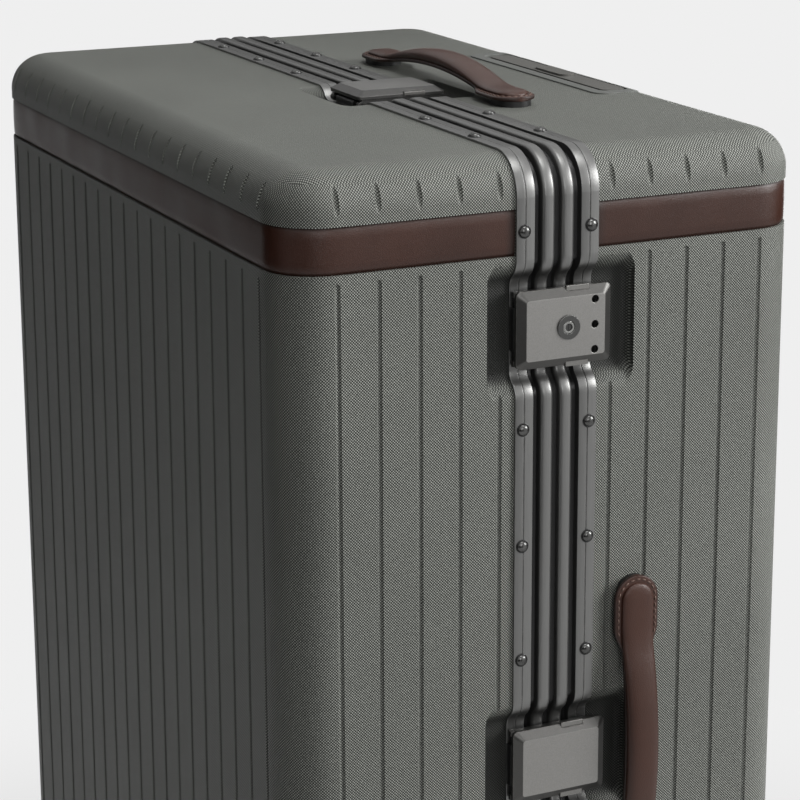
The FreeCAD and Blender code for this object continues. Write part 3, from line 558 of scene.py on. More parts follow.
# Tools for the pieces
def lathe(bm, profile, turns, place=Matrix.Identity(4), mask=None):
    # Spins (radius, height) points about Z; mask gives the ring value of each point
    layer = bm.verts.layers.float.get("ring") or bm.verts.layers.float.new("ring")
    loops = []
    for index, (radius, height) in enumerate(profile):
        loop = []
        for step in range(turns if radius > 0 else 1):
            angle = 2 * math.pi * step / turns
            vert = bm.verts.new(place @ Vector((radius * math.cos(angle), radius * math.sin(angle), height)))
            vert[layer] = mask[index] if mask else 0.0
            loop.append(vert)
        loops.append(loop)
    for near, far in zip(loops, loops[1:]):
        for step in range(turns):
            after = (step + 1) % turns
            corners = [near[step % len(near)], near[after % len(near)],
                       far[after % len(far)], far[step % len(far)]]
            bm.faces.new(list(dict.fromkeys(corners)))
    return loops


def alongX(x, centre):
    # Lays the axis of a turned piece along X, starting at x
    return Matrix.Translation((x, centre.y, centre.z)) @ Matrix.Rotation(math.pi / 2, 4, "Y")


def loft(bm, rings):
    loops = [[bm.verts.new(point) for point in ring] for ring in rings]
    for near, far in zip(loops, loops[1:]):
        for i in range(len(near)):
            j = (i + 1) % len(near)
            bm.faces.new((near[i], near[j], far[j], far[i]))
    bm.faces.new(loops[0][::-1])
    bm.faces.new(loops[-1])
    return loops


def finishMesh(bm, name, sharpAngle):
    bmesh.ops.recalc_face_normals(bm, faces=bm.faces)
    mesh = bpy.data.meshes.new(name)
    bm.to_mesh(mesh)
    bm.free()
    mesh.shade_smooth()
    mesh.set_sharp_from_angle(angle=math.radians(sharpAngle))
    return mesh


def addPiece(name, mesh, body, slotName, *stoodFor):
    piece = bpy.data.objects.new(name, mesh)
    scene.collection.objects.link(piece)
    if not mesh.materials:
        mesh.materials.append(materials[slotName])
    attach(piece, body)
    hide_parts(*stoodFor)
    return piece


def softStep(value, low, high):
    share = min(max((value - low) / (high - low), 0.0), 1.0)
    return share * share * (3 - 2 * share)


def roundLoop(halfWide, low, high, count, power):
    # A rounded bar's outline: across and up, fuller as power grows
    loop = []
    for step in range(count):
        angle = 2 * math.pi * step / count
        across = math.copysign(abs(math.cos(angle)) ** (2 / power), math.cos(angle))
        up = math.copysign(abs(math.sin(angle)) ** (2 / power), math.sin(angle))
        loop.append((halfWide * across, (low + high) / 2 + (high - low) / 2 * up))
    return loop


def extent(points):
    low = Vector([min(point[axis] for point in points) for axis in range(3)])
    high = Vector([max(point[axis] for point in points) for axis in range(3)])
    return low, high


def islands(node):
    # The points of each separate solid in a CAD node, from a merged copy of its mesh
    bm = bmesh.new()
    bm.from_mesh(nodes[node].data)
    bmesh.ops.remove_doubles(bm, verts=bm.verts, dist=0.00001)
    left = set(bm.verts)
    groups = []
    while left:
        queue = [left.pop()]
        group = []
        while queue:
            vert = queue.pop()
            group.append(vert.co.copy())
            for edge in vert.link_edges:
                other = edge.other_vert(vert)
                if other in left:
                    left.remove(other)
                    queue.append(other)
        groups.append(group)
    bm.free()
    return groups


def makeCopiesTree():
    # Sets a pattern on seats that carry the directions "facing" and "along"
    tree = bpy.data.node_groups.new("seatedCopies", "GeometryNodeTree")
    for label, kind in (("Seats", "NodeSocketGeometry"), ("Pattern", "NodeSocketObject"),
                        ("Size", "NodeSocketFloat"), ("Finish", "NodeSocketMaterial")):
        tree.interface.new_socket(label, in_out="INPUT", socket_type=kind)
    tree.interface.new_socket("Copies", in_out="OUTPUT", socket_type="NodeSocketGeometry")
    given = tree.nodes.new("NodeGroupInput").outputs
    facing, along = (put(tree, "GeometryNodeInputNamedAttribute", {"Name": label},
                         data_type="FLOAT_VECTOR").outputs[0] for label in ("facing", "along"))
    turn = put(tree, "FunctionNodeAxesToRotation", {0: facing, 1: along},
               primary_axis="Z", secondary_axis="X").outputs[0]
    pattern = put(tree, "GeometryNodeObjectInfo", {"Object": given["Pattern"]}).outputs["Geometry"]
    copies = put(tree, "GeometryNodeInstanceOnPoints", {"Points": given["Seats"], "Instance": pattern,
                                                        "Rotation": turn, "Scale": given["Size"]})
    solid = put(tree, "GeometryNodeRealizeInstances", {"Geometry": copies.outputs[0]})
    dressed = put(tree, "GeometryNodeSetMaterial",
                  {"Geometry": solid.outputs[0], "Material": given["Finish"]})
    tree.links.new(dressed.outputs[0], tree.nodes.new("NodeGroupOutput").inputs[0])
    return tree


copiesTree = makeCopiesTree()
copiesInputs = {item.name: item.identifier for item in copiesTree.interface.items_tree
                if item.in_out == "INPUT"}


def seatCopies(name, seats, patternMesh, size, finish):
    # One plain mesh with a copy of the pattern on every seat (place, facing, along)
    mesh = bpy.data.meshes.new(name + "Seats")
    mesh.from_pydata([seat[0] for seat in seats], [], [])
    for label, index in (("facing", 1), ("along", 2)):
        layer = mesh.attributes.new(label, "FLOAT_VECTOR", "POINT")
        layer.data.foreach_set("vector", [part for seat in seats for part in seat[index]])
    carrier = bpy.data.objects.new(name + "Seats", mesh)
    pattern = bpy.data.objects.new(name + "Pattern", patternMesh)
    scene.collection.objects.link(carrier)
    scene.collection.objects.link(pattern)
    modifier = carrier.modifiers.new("copies", "NODES")
    modifier.node_group = copiesTree
    modifier[copiesInputs["Pattern"]] = pattern
    modifier[copiesInputs["Size"]] = size
    modifier[copiesInputs["Finish"]] = finish
    bpy.context.view_layer.update()
    made = bpy.data.meshes.new_from_object(carrier.evaluated_get(bpy.context.evaluated_depsgraph_get()))
    made.name = name
    carrier.modifiers.clear()
    bpy.data.objects.remove(carrier)
    bpy.data.objects.remove(pattern)
    return made


# Rivets: a dome in a ring painted dark as shade, on every seat of the two frames
rivetLook = {"turns": 20, "domeFoot": 0.84, "domeRings": 6,
             "ringHeight": 0.14, "ringCrest": 1.6, "ringOuter": 0.97, "ringInner": 1.04}


def rivetSeats(node):
    # Each seat: where the rivet meets the frame, which way it faces, its run, radius and height
    centre = Vector((0, 0, shellMiddle))
    seats = []
    for points in islands(node):
        low, high = extent(points)
        size = high - low
        axis = min(range(3), key=lambda i: size[i])
        middle = (low + high) / 2
        facing = Vector((0, 0, 0))
        facing[axis] = math.copysign(1, middle[axis] - centre[axis])
        middle[axis] = low[axis] if facing[axis] > 0 else high[axis]
        seats.append((middle, facing, Vector((0, 1, 0)), max(size) / 2, size[axis]))
    return seats


def makeRivets(name, node, body):
    look = rivetLook
    seats = rivetSeats(node)
    radius, height = seats[0][3:]
    foot = look["domeFoot"] * radius
    lift = look["ringHeight"] * height
    crest = look["ringCrest"] * lift
    profile = [(radius, 0), (radius, lift), (look["ringOuter"] * radius, crest),
               (look["ringInner"] * foot, crest), (foot, lift)]
    # The ring is marked for painted shade round the head's foot
    mask = [1] * len(profile) + [0] * look["domeRings"]
    for step in range(1, look["domeRings"]):
        angle = step / look["domeRings"] * math.pi / 2
        profile.append((foot * math.cos(angle), lift + (height - lift) * math.sin(angle)))
    profile.append((0, height))
    bm = bmesh.new()
    lathe(bm, profile, look["turns"], mask=mask)
    made = seatCopies(name, seats, finishMesh(bm, name + "Head", 60), 1.0, materials["rivet_metal"])
    addPiece(name, made, body, "rivet_metal", node)
    return len(seats)


rivetCount = makeRivets("frontRivets", "front_frame_rivets", "lid")
rivetCount += makeRivets("backRivets", "back_frame_rivets", "base")
print("rivets seated:", rivetCount)


# Leather bands, let into the shells: a crowned strip with turned edges, bedded down at its ends
bandLook = {"thick": 0.0011, "crown": 0.00035, "edge": 0.0022, "edgeSteps": (0, 0.0004, 0.0011),
            "edgeDrop": 0.0009, "rim": (0.0003, 0.0017), "step": 0.006, "bendSteps": 12,
            "waver": 0.00012, "waverTurns": (0.9, 40, 0.23)}


def planPath(inset, yEnd, sign):
    # Around one half of the case at that inset: points and outward directions
    wide, deep, radius = halfWidth - inset, halfDepth - inset, cornerRadius - inset
    path = []

    def run(start, finish, outward):
        count = max(2, round((finish - start).length / bandLook["step"]))
        for i in range(count):
            path.append((start.lerp(finish, i / count), outward))

    def bend(centre, fromAngle):
        for i in range(bandLook["bendSteps"]):
            angle = fromAngle + math.pi / 2 * i / bandLook["bendSteps"]
            out = Vector((math.cos(angle), math.sin(angle)))
            path.append((centre + radius * out, out))

    # Drawn round the front half first, and turned over below for the back one
    run(Vector((-wide, yEnd)), Vector((-wide, radius - deep)), Vector((-1, 0)))
    bend(Vector((radius - wide, radius - deep)), math.pi)
    run(Vector((radius - wide, -deep)), Vector((wide - radius, -deep)), Vector((0, -1)))
    bend(Vector((wide - radius, radius - deep)), 1.5 * math.pi)
    run(Vector((wide, radius - deep)), Vector((wide, yEnd)), Vector((1, 0)))
    path.append((Vector((wide, yEnd)), Vector((1, 0))))
    return [(Vector((p.x, -sign * p.y)), Vector((o.x, -sign * o.y))) for p, o in path]


def makeBand(name, node, body, sign):
    look = bandLook
    low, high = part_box(node)
    half = (high.z - low.z) / 2
    middle = (high.z + low.z) / 2
    edges = [half - step for step in look["edgeSteps"] + (look["edge"],)]
    heights = [-edge for edge in edges] + [-half / 2, 0, half / 2] + edges[::-1]
    fastTurn, tilt, slowTurn = look["waverTurns"]
    rings = []
    path = planPath(halfWidth - high.x, -min(abs(low.y), abs(high.y)), sign)
    for index, (point, out) in enumerate(path):
        ring = []
        for height in heights:
            near = softStep(half - abs(height), 0.0, look["edge"])
            wave = look["waver"] * math.sin(index * fastTurn + tilt * height) * math.sin(index * slowTurn)
            crown = look["crown"] * (1 - (height / half) ** 2) + wave
            rise = near * crown - (1 - near) * look["edgeDrop"]
            ring.append((point.x + out.x * rise, point.y + out.y * rise, middle + height))
        back = point - look["thick"] * out
        ring += [(back.x, back.y, middle + half), (back.x, back.y, middle - half)]
        rings.append(ring)
    bm = bmesh.new()
    rim = bm.verts.layers.float.new("rim")
    loops = loft(bm, rings)
    # The rim mask paints shadow along the band's edges and at its bedded ends
    for loop in loops:
        for height, vert in zip(heights, loop):
            vert[rim] = 1 - softStep(half - abs(height), *look["rim"])
    for vert in loops[0] + loops[-1]:
        vert[rim] = 1.0
    addPiece(name, finishMesh(bm, name, 50), body, "leather", node)


makeBand("frontBand", "front_leather_band", "lid", -1)
makeBand("backBand", "back_leather_band", "base", 1)
print("leather bands laid")


# Carry handles: a padded strap sewn to a thin wing that widens into a round tab at each end
handleLook = {"tabLength": 0.026, "tabRadius": 0.0138, "tabTop": 0.0055, "settle": 0.0035,
              "strapHalf": 0.0098, "strapThick": 0.0095, "hollow": 0.25, "wearAndSheenFrom": 0.02,
              "wingThick": 0.0028, "wingMargin": 0.0043, "wingReach": (0.031, 0.046), "wingTuck": 0.0008,
              "steps": 40, "endSteps": 10, "endClose": 0.9995, "wingTip": 0.0004, "coreTip": 0.0003,
              "wingLoop": (24, 5), "coreLoop": (28, 2.5), "coreSink": 0.5, "coreClose": (0.02, 0.7),
              "rimFrom": 0.9, "wearAndSheenLeast": 0.4,
              "stitchPitch": 0.0038, "stitchLine": 0.0021, "stitchLength": 0.0027, "stitchWidth": 0.0009,
              "stitchFrom": 0.034, "stitchSteps": 30}


def makeStitch():
    # A short thread that dips at both ends
    half = handleLook["stitchLength"] / 2
    wide = handleLook["stitchWidth"] / 2
    rings = []
    for along, grow, lift in ((-1, 0.35, -0.5), (-0.6, 0.9, 0.05), (0, 1, 0.25),
                              (0.6, 0.9, 0.05), (1, 0.35, -0.5)):
        angles = [math.pi / 3 * step for step in range(6)]
        rings.append([(along * half, wide * grow * math.cos(angle), wide * (lift + grow * math.sin(angle)))
                      for angle in angles])
    bm = bmesh.new()
    loft(bm, rings)
    return finishMesh(bm, "stitch", 80)


def handleLines(half, foot, crest):
    # Underside and top of the handle and half the wing's width, at s from the handle's middle
    look = handleLook
    bend = half - look["tabLength"]
    tabEnd = half - look["tabRadius"]
    hollow = look["hollow"]

    def rise(s):
        share = min(abs(s) / bend, 1)
        return 1 - share ** 2 / (1 - hollow) if share < 1 - hollow else (1 - share) ** 2 / hollow

    def under(s):
        return foot + (crest - look["strapThick"] - foot) * rise(s)

    def over(s):
        return foot + look["tabTop"] + (crest - foot - look["tabTop"]) * rise(s)

    def wingHalf(s):
        if abs(s) > tabEnd:
            return math.sqrt(max(look["tabRadius"] ** 2 - (abs(s) - tabEnd) ** 2, 0))
        near, far = look["wingReach"]
        slim = look["strapHalf"] - look["wingTuck"]
        return slim + (look["tabRadius"] - slim) * softStep(abs(s), half - far, half - near)

    return under, over, wingHalf


def stations(end, radius):
    # Even steps along the strap, closing up round its ends
    steps, endSteps = handleLook["steps"], handleLook["endSteps"]
    straight = [(end - radius) * i / steps for i in range(steps)]
    closing = [math.sin(math.pi / 2 * i / endSteps) * handleLook["endClose"] for i in range(endSteps + 1)]
    ahead = straight + [end - radius + radius * share for share in closing]
    return [-s for s in reversed(ahead[1:])] + ahead


def loftWing(bm, place, half, under, wingHalf):
    rim = bm.verts.layers.float["rim"]
    rings = []
    for s in stations(half, handleLook["tabRadius"]):
        wide = max(wingHalf(s), handleLook["wingTip"])
        loop = roundLoop(wide, under(s), under(s) + handleLook["wingThick"], *handleLook["wingLoop"])
        rings.append([place(s, t, n) for t, n in loop])
    # The rim mask paints shade on the wing's outer edge
    for loop in loft(bm, rings):
        centre = sum((vert.co for vert in loop), Vector()) / len(loop)
        reach = max((vert.co - centre).length for vert in loop)
        for vert in loop:
            vert[rim] = softStep((vert.co - centre).length / reach, handleLook["rimFrom"], 1.0)


def loftCore(bm, place, half, under, over):
    look = handleLook
    rub = bm.verts.layers.float["rub"]
    end = half - look["wingMargin"]
    radius = look["strapHalf"]
    least, power = look["coreClose"]
    rings, crests = [], []
    for s in stations(end, radius):
        beyond = max(abs(s) - (end - radius), 0) / radius
        close = math.sqrt(max(1 - beyond ** 2, 0))
        low = under(s) + look["coreSink"] * look["wingThick"]
        wingTop = under(s) + look["wingThick"]
        high = wingTop + (over(s) - wingTop) * max(close, least) ** power
        loop = roundLoop(max(radius * close, look["coreTip"]), low, high, *look["coreLoop"])
        rings.append([place(s, t, n) for t, n in loop])
        crests.append(1 - softStep(abs(s), look["wearAndSheenFrom"], end))
    # The top of the core is lightened, most near the middle: painted sheen, with wear from hands
    for loop, crest in zip(loft(bm, rings), crests):
        for index, vert in enumerate(loop):
            facing = max(math.sin(2 * math.pi * index / len(loop)), 0)
            vert[rub] = facing ** 2 * (look["wearAndSheenLeast"] + (1 - look["wearAndSheenLeast"]) * crest)


def stitchSeats(place, half, under, wingHalf):
    # The thread runs up one side of each tab, round its end and down the other side
    look = handleLook
    tabEnd = half - look["tabRadius"]
    line = look["tabRadius"] - look["stitchLine"]
    start = half - look["stitchFrom"]
    count = look["stitchSteps"]
    side = [start + (tabEnd - start) * i / count for i in range(count)]
    side = [(s, wingHalf(s) - look["stitchLine"]) for s in side]
    angles = [math.pi * i / count for i in range(count + 1)]
    turn = [(tabEnd + line * math.sin(angle), line * math.cos(angle)) for angle in angles]
    outline = side + turn + [(s, -t) for s, t in reversed(side)]
    ahead = 0.0005

    def onWing(s, t, lift=0.0):
        return place(s, t, under(s) + look["wingThick"] + lift)

    seats = []
    for end in (-1, 1):
        carried = 0.0
        for (s0, t0), (s1, t1) in zip(outline, outline[1:]):
            length = math.hypot(s1 - s0, t1 - t0)
            runS, runT = (s1 - s0) / length, (t1 - t0) / length
            while carried < length:
                s = end * (s0 + runS * carried)
                t = t0 + runT * carried
                here = onWing(s, t)
                along = (onWing(s + end * runS * ahead, t + runT * ahead) - here).normalized()
                up = (onWing(s, t, ahead) - here).normalized()
                seats.append((here, (up - up.dot(along) * along).normalized(), along))
                carried += look["stitchPitch"]
            carried -= length
    return seats


def makeHandle(name, node, place, half, foot, crest):
    # The hide settles a little below the arch of the solid
    under, over, wingHalf = handleLines(half, foot, crest - handleLook["settle"])
    bm = bmesh.new()
    for label in ("rim", "rub"):
        bm.verts.layers.float.new(label)
    loftWing(bm, place, half, under, wingHalf)
    loftCore(bm, place, half, under, over)
    handle = addPiece(name, finishMesh(bm, name, 55), "base", "leather", node)
    seats = stitchSeats(place, half, under, wingHalf)
    sewn = seatCopies(name + "Stitches", seats, makeStitch(), 1.0, materials["thread"])
    addPiece(name + "Stitches", sewn, "base", "leather")
    return len(seats)


def makeHandles():
    # place(s, t, n) is a point at s along the handle, t across it and n above the shell
    low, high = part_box("top_handle")
    centre = (low + high) / 2
    count = makeHandle("topHandle", "top_handle",
                       lambda s, t, n: Vector((centre.x + s, centre.y + t, shellTop + n)),
                       (high.x - low.x) / 2, low.z - shellTop, high.z - shellTop)
    low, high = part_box("side_handle")
    middle = (low + high) / 2
    count += makeHandle("sideHandle", "side_handle",
                        lambda s, t, n: Vector((halfWidth + n, middle.y + t, middle.z - s)),
                        (high.z - low.z) / 2, low.x - halfWidth, high.x - halfWidth)
    return count


print("handles sewn, stitches:", makeHandles())


# Cloth linings: one sheet glued into each half, drawn over what the shell holds inside
liningLook = {"inset": 0.0077, "step": 0.009, "reach": 0.045, "beyond": 0.02, "clear": 0.0009,
              "loose": 0.0006, "rimGap": 0.0002, "rimHold": 0.001, "rimBinding": (0.0096, 0.012),
              "channelHalf": 0.092, "channelFade": 0.016, "strapGap": 0.0004,
              "trayGap": 0.0012, "trayRamp": (0.030, 0.012), "ripples": ((31, 0, 9), (-17, 11, 23))}
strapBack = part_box("compression_straps")[1].y
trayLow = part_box("trolley_bezel")[0]


def solidTree(names):
    verts, faces = [], []
    for name in names:
        mesh = nodes[name].data
        start = len(verts)
        verts += [vert.co.copy() for vert in mesh.vertices]
        faces += [[start + index for index in polygon.vertices] for polygon in mesh.polygons]
    return BVHTree.FromPolygons(verts, faces)


def weldTray(half, rimY):
    # The five flat sides of an open tray, evenly divided and welded along their edges
    bm = bmesh.new()
    span = half.y - rimY
    wide, deep, tall = (round(size / liningLook["step"]) for size in (2 * half.x, span, 2 * half.z))

    def patch(countA, countB, corner):
        grid = [[bm.verts.new(corner(a / countA, b / countB)) for b in range(countB + 1)]
                for a in range(countA + 1)]
        for a in range(countA):
            for b in range(countB):
                bm.faces.new((grid[a][b], grid[a + 1][b], grid[a + 1][b + 1], grid[a][b + 1]))

    patch(wide, tall, lambda a, b: ((2 * a - 1) * half.x, half.y, (2 * b - 1) * half.z))
    for side in (-1, 1):
        patch(deep, tall, lambda a, b: (side * half.x, rimY + a * span, (2 * b - 1) * half.z))
        patch(wide, deep, lambda a, b: ((2 * a - 1) * half.x, rimY + b * span, side * half.z))
    bmesh.ops.remove_doubles(bm, verts=bm.verts, dist=0.0001)
    bm.verts.index_update()
    return bm


def overChannel(place, rimY, span):
    # The back sheet runs over the channel of the trolley tubes and in front of the tray above it
    look = liningLook
    face = strapBack + look["strapGap"] + look["clear"] + look["loose"]
    rampLow, rampHigh = (trayLow.z - drop for drop in look["trayRamp"])
    face += (trayLow.y - look["trayGap"] - face) * softStep(place.z + shellMiddle, rampLow, rampHigh)
    fade = softStep(abs(place.x), look["channelHalf"], look["channelHalf"] + look["channelFade"])
    share = 1 - (1 - (face - rimY) / span) * (1 - fade)
    return rimY + (place.y - rimY) * share


def seatLining(bm, half, rimY, sign, solids):
    # Rounds the tray's corners, and measures how far each point has to stand off the solids behind it
    look = liningLook
    radius = cornerRadius - look["inset"]
    outward, standOff = [], []
    for vert in bm.verts:
        p = vert.co.copy()
        core = Vector((min(max(p.x, radius - half.x), half.x - radius), min(p.y, half.y - radius),
                       min(max(p.z, radius - half.z), half.z - radius)))
        out = (p - core).normalized()
        place = core + radius * out
        if sign > 0:
            place.y = overChannel(place, rimY, half.y - rimY)
        place.y *= sign
        place.z += shellMiddle
        out.y *= sign
        vert.co = place
        outward.append(out)
        hit = solids.ray_cast(place - look["reach"] * out, out, look["reach"] + look["beyond"])
        gap = look["reach"] - hit[3] if hit[0] is not None else 0.0
        standOff.append(max(gap, 0.0) + look["clear"])
    return outward, standOff


def easeStandOff(bm, needed):
    # Spreads each stand-off over two rings of neighbours, then smooths it, never below what is needed
    around = [[edge.other_vert(vert).index for edge in vert.link_edges] for vert in bm.verts]
    eased = list(needed)
    for turn in range(2):
        eased = [max([eased[i]] + [eased[j] for j in around[i]]) for i in range(len(eased))]
    for turn in range(2):
        means = [sum(eased[j] for j in near) / len(near) for near in around]
        eased = [max(least, (own + mean) / 2) for least, own, mean in zip(needed, eased, means)]
    return eased


def makeLining(name, node, body, sign, obstacles):
    look = liningLook
    low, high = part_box(node)
    rimY = min(abs(low.y), abs(high.y)) + look["rimGap"]
    halfHeight = (shellTop - shellBottom) / 2
    half = Vector((halfWidth - look["inset"], halfDepth - look["inset"], halfHeight - look["inset"]))
    bm = weldTray(half, rimY)
    outward, needed = seatLining(bm, half, rimY, sign, solidTree(obstacles))
    standOff = easeStandOff(bm, needed)
    rim = bm.verts.layers.float.new("rim")
    for vert in bm.verts:
        p = vert.co
        depth = abs(p.y) - rimY
        ripple = math.prod(math.sin(p.dot(run)) for run in look["ripples"])
        vert[rim] = 1 - softStep(depth, *look["rimBinding"])
        move = (standOff[vert.index] + look["loose"] * (1 + ripple) / 2) * outward[vert.index]
        if depth < look["rimHold"]:
            move.y = 0
        vert.co = p - move
    area = sum(face.calc_area() for face in bm.faces)
    lining = addPiece(name, finishMesh(bm, name, 60), body, "lining_fabric", node)


makeLining("frontLining", "front_lining", "lid", -1, ["front_shell", "front_caster_cups"])
makeLining("backLining", "back_lining", "base", 1,
           ["back_shell", "back_caster_cups", "trolley_bezel", "trolley_outer_tubes"])
print("linings drawn in")


# Packing straps: woven tape with bound edges, sewn down at both ends
strapLook = {"stations": 90, "sag": 0.0005, "edge": (0.00192, 0.0012), "endGap": 0.0015,
             "fullness": 0.985, "frontGap": 0.0001, "backGap": 0.0002, "loop": (20, 7),
             "sewnFrom": 0.004, "sewnLength": 0.018, "sewnShare": 0.8, "pitch": 0.0034, "threadSize": 0.8}


def tapeRings(low, high):
    look = strapLook
    z = (low.z + high.z) / 2
    half = (high.z - low.z) / 2
    front = low.y + look["sag"] + look["frontGap"]
    loop = roundLoop(half * look["fullness"], front, high.y - look["backGap"], *look["loop"])
    rings = []
    for i in range(look["stations"] + 1):
        share = i / look["stations"]
        x = low.x + look["endGap"] + (high.x - low.x - 2 * look["endGap"]) * share
        sag = look["sag"] * math.sin(math.pi * share) ** 2
        rings.append([(x, n - sag, z + t) for t, n in loop])
    return rings


def boxStitches(low, high):
    # A sewn box with a cross in it, at both ends of a strap
    look = strapLook
    z = (low.z + high.z) / 2
    tall = (high.z - low.z) / 2 * look["sewnShare"]
    seats = []
    for end, edge in ((-1, low.x), (1, high.x)):
        near = edge - end * look["sewnFrom"]
        far = near - end * look["sewnLength"]
        corners = [(near, -tall), (far, -tall), (far, tall), (near, tall), (near, -tall),
                   (far, tall), (near, tall), (far, -tall)]
        for (x0, t0), (x1, t1) in zip(corners, corners[1:]):
            along = Vector((x1 - x0, 0, t1 - t0))
            for k in range(int(along.length / look["pitch"])):
                spot = along * ((k + 0.5) * look["pitch"] / along.length)
                place = Vector((x0 + spot.x, low.y + look["sag"], z + t0 + spot.z))
                seats.append((place, Vector((0, -1, 0)), along.normalized()))
    return seats


def makeStraps():
    bm = bmesh.new()
    rim = bm.verts.layers.float.new("rim")
    seats = []
    for points in islands("compression_straps"):
        low, high = extent(points)
        z = (low.z + high.z) / 2
        half = (high.z - low.z) / 2
        edgeIn, edgeOut = (half - inset for inset in strapLook["edge"])
        for loop in loft(bm, tapeRings(low, high)):
            for vert in loop:
                vert[rim] = softStep(abs(vert.co.z - z), edgeIn, edgeOut)
        seats += boxStitches(low, high)
    tape = finishMesh(bm, "packingStraps", 60)
    addPiece("packingStraps", tape, "base", "strap_webbing", "compression_straps")
    sewn = seatCopies("packingStrapStitches", seats, makeStitch(), strapLook["threadSize"],
                      materials["thread"])
    addPiece("packingStrapStitches", sewn, "base", "strap_webbing")


makeStraps()
print("packing straps sewn")


# Caster wheels: a grooved tyre on a dished hub, one pair for each fork
wheelLook = {"turns": 64, "shoulder": 0.003, "shoulderSteps": 5, "tyreFoot": 0.80, "tyreLip": 0.0004,
             "grooves": (0.34, 0.66), "grooveWidth": 0.0007, "grooveDepth": 0.0007, "grooveSlope": 0.0003,
             "dish": 0.0016, "dishSlope": 0.6, "dishRim": (0.77, 0.72),
             "hub": 0.36, "hubFoot": 1.12, "hubFace": 0.0003, "bore": 0.135}


def tyreProfile(radius, width):
    # Radius and place along the axle, from one side over the tread to the other
    look = wheelLook
    shoulder = look["shoulder"]
    side = [(look["tyreFoot"] * radius, look["tyreLip"])]
    for i in range(look["shoulderSteps"]):
        angle = math.pi / 2 * i / look["shoulderSteps"]
        side.append((radius - shoulder * (1 - math.sin(angle)), shoulder * (1 - math.cos(angle))))
    tread = []
    depth, slope = radius - look["grooveDepth"], look["grooveSlope"]
    for share in look["grooves"]:
        near, far = share * width - look["grooveWidth"], share * width + look["grooveWidth"]
        tread += [(radius, near), (depth, near + slope), (depth, far - slope), (radius, far)]
    return side + tread + [(r, width - a) for r, a in reversed(side)]


def hubProfile(radius, width):
    # Shares of the radius with how far each is sunk, the same on both sides of the wheel
    look = wheelLook
    dish, hub = look["dish"], look["hub"]
    rimOuter, rimInner = look["dishRim"]
    face = [(look["tyreFoot"], look["tyreLip"]), (rimOuter, look["dishSlope"] * dish), (rimInner, dish),
            (look["hubFoot"] * hub, dish), (hub, look["hubFace"]), (look["bore"], look["hubFace"])]
    outer = [(share * radius, width - sunk) for share, sunk in face]
    return outer + [(share * radius, sunk) for share, sunk in reversed(face)]


def makeWheels(corner):
    node = corner + "_caster_wheels"
    name = "".join(word.title() for word in corner.split("_")) + "Wheels"
    low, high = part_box(node)
    radius = (high.z - low.z) / 2
    turns = wheelLook["turns"]
    bm = bmesh.new()
    for points in islands(node):
        near, far = extent(points)
        width = far.x - near.x
        place = alongX(near.x, (low + high) / 2)
        lathe(bm, tyreProfile(radius, width), turns, place)
        tyreFaces = len(bm.faces)
        loops = lathe(bm, hubProfile(radius, width), turns, place)
        for i in range(turns):
            j = (i + 1) % turns
            bm.faces.new((loops[-1][i], loops[-1][j], loops[0][j], loops[0][i]))
        bm.faces.ensure_lookup_table()
        for face in bm.faces[tyreFaces:]:
            face.material_index = 1
    bmesh.ops.remove_doubles(bm, verts=bm.verts, dist=0.00002)
    mesh = finishMesh(bm, name, 35)
    mesh.materials.append(materials["wheel_rubber"])
    mesh.materials.append(materials["caster_plastic"])
    addPiece(name, mesh, corner + "_wheels", "wheel_rubber", node)


for corner in ("front_left", "front_right", "back_left", "back_right"):
    makeWheels(corner)
print("wheels turned")


# Key plugs: a bright rim round a sunk face with its keyway; the face and keyway are painted dark as shade
plugLook = {"turns": 32, "rim": (0.62, 0.93), "bevel": 0.0003, "sink": 0.0006, "wall": 0.96, "face": 0.55,
            "faceShade": 0.8, "slotHalf": (0.0017, 0.00045), "slotLevels": (-0.0002, 0.00006)}


def makePlug(lock):
    look = plugLook
    node = lock + "_lock_core"
    low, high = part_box(node)
    radius = (high.z - low.z) / 2
    length = high.x - low.x
    inner, outer = (share * radius for share in look["rim"])
    sunk = length - look["sink"]
    profile = [(0, 0), (radius, 0), (radius, length - look["bevel"]), (outer, length), (inner, length),
               (inner * look["wall"], sunk), (inner * look["face"], sunk), (0, sunk)]
    # The sunk wall and face are marked for painted shade
    mask = [0, 0, 0, 0, 0, 1, look["faceShade"], look["faceShade"]]
    place = alongX(low.x, (low + high) / 2)
    bm = bmesh.new()
    lathe(bm, profile, look["turns"], place, mask)
    layer = bm.verts.layers.float["ring"]
    # The keyway is a shallow slot painted black, as painted shade of a deep hole
    tall, wide = look["slotHalf"]
    corners = [(-tall, -wide), (tall, -wide), (tall, wide), (-tall, wide)]
    slot = [[place @ Vector((a, b, sunk + level)) for a, b in corners] for level in look["slotLevels"]]
    for loop in loft(bm, slot):
        for vert in loop:
            vert[layer] = 1.0
    addPiece(lock + "KeyPlug", finishMesh(bm, lock + "KeyPlug", 35), lock + "_core", "lock_steel", node)


for lock in ("upper", "lower"):
    makePlug(lock)
print("key plugs set")


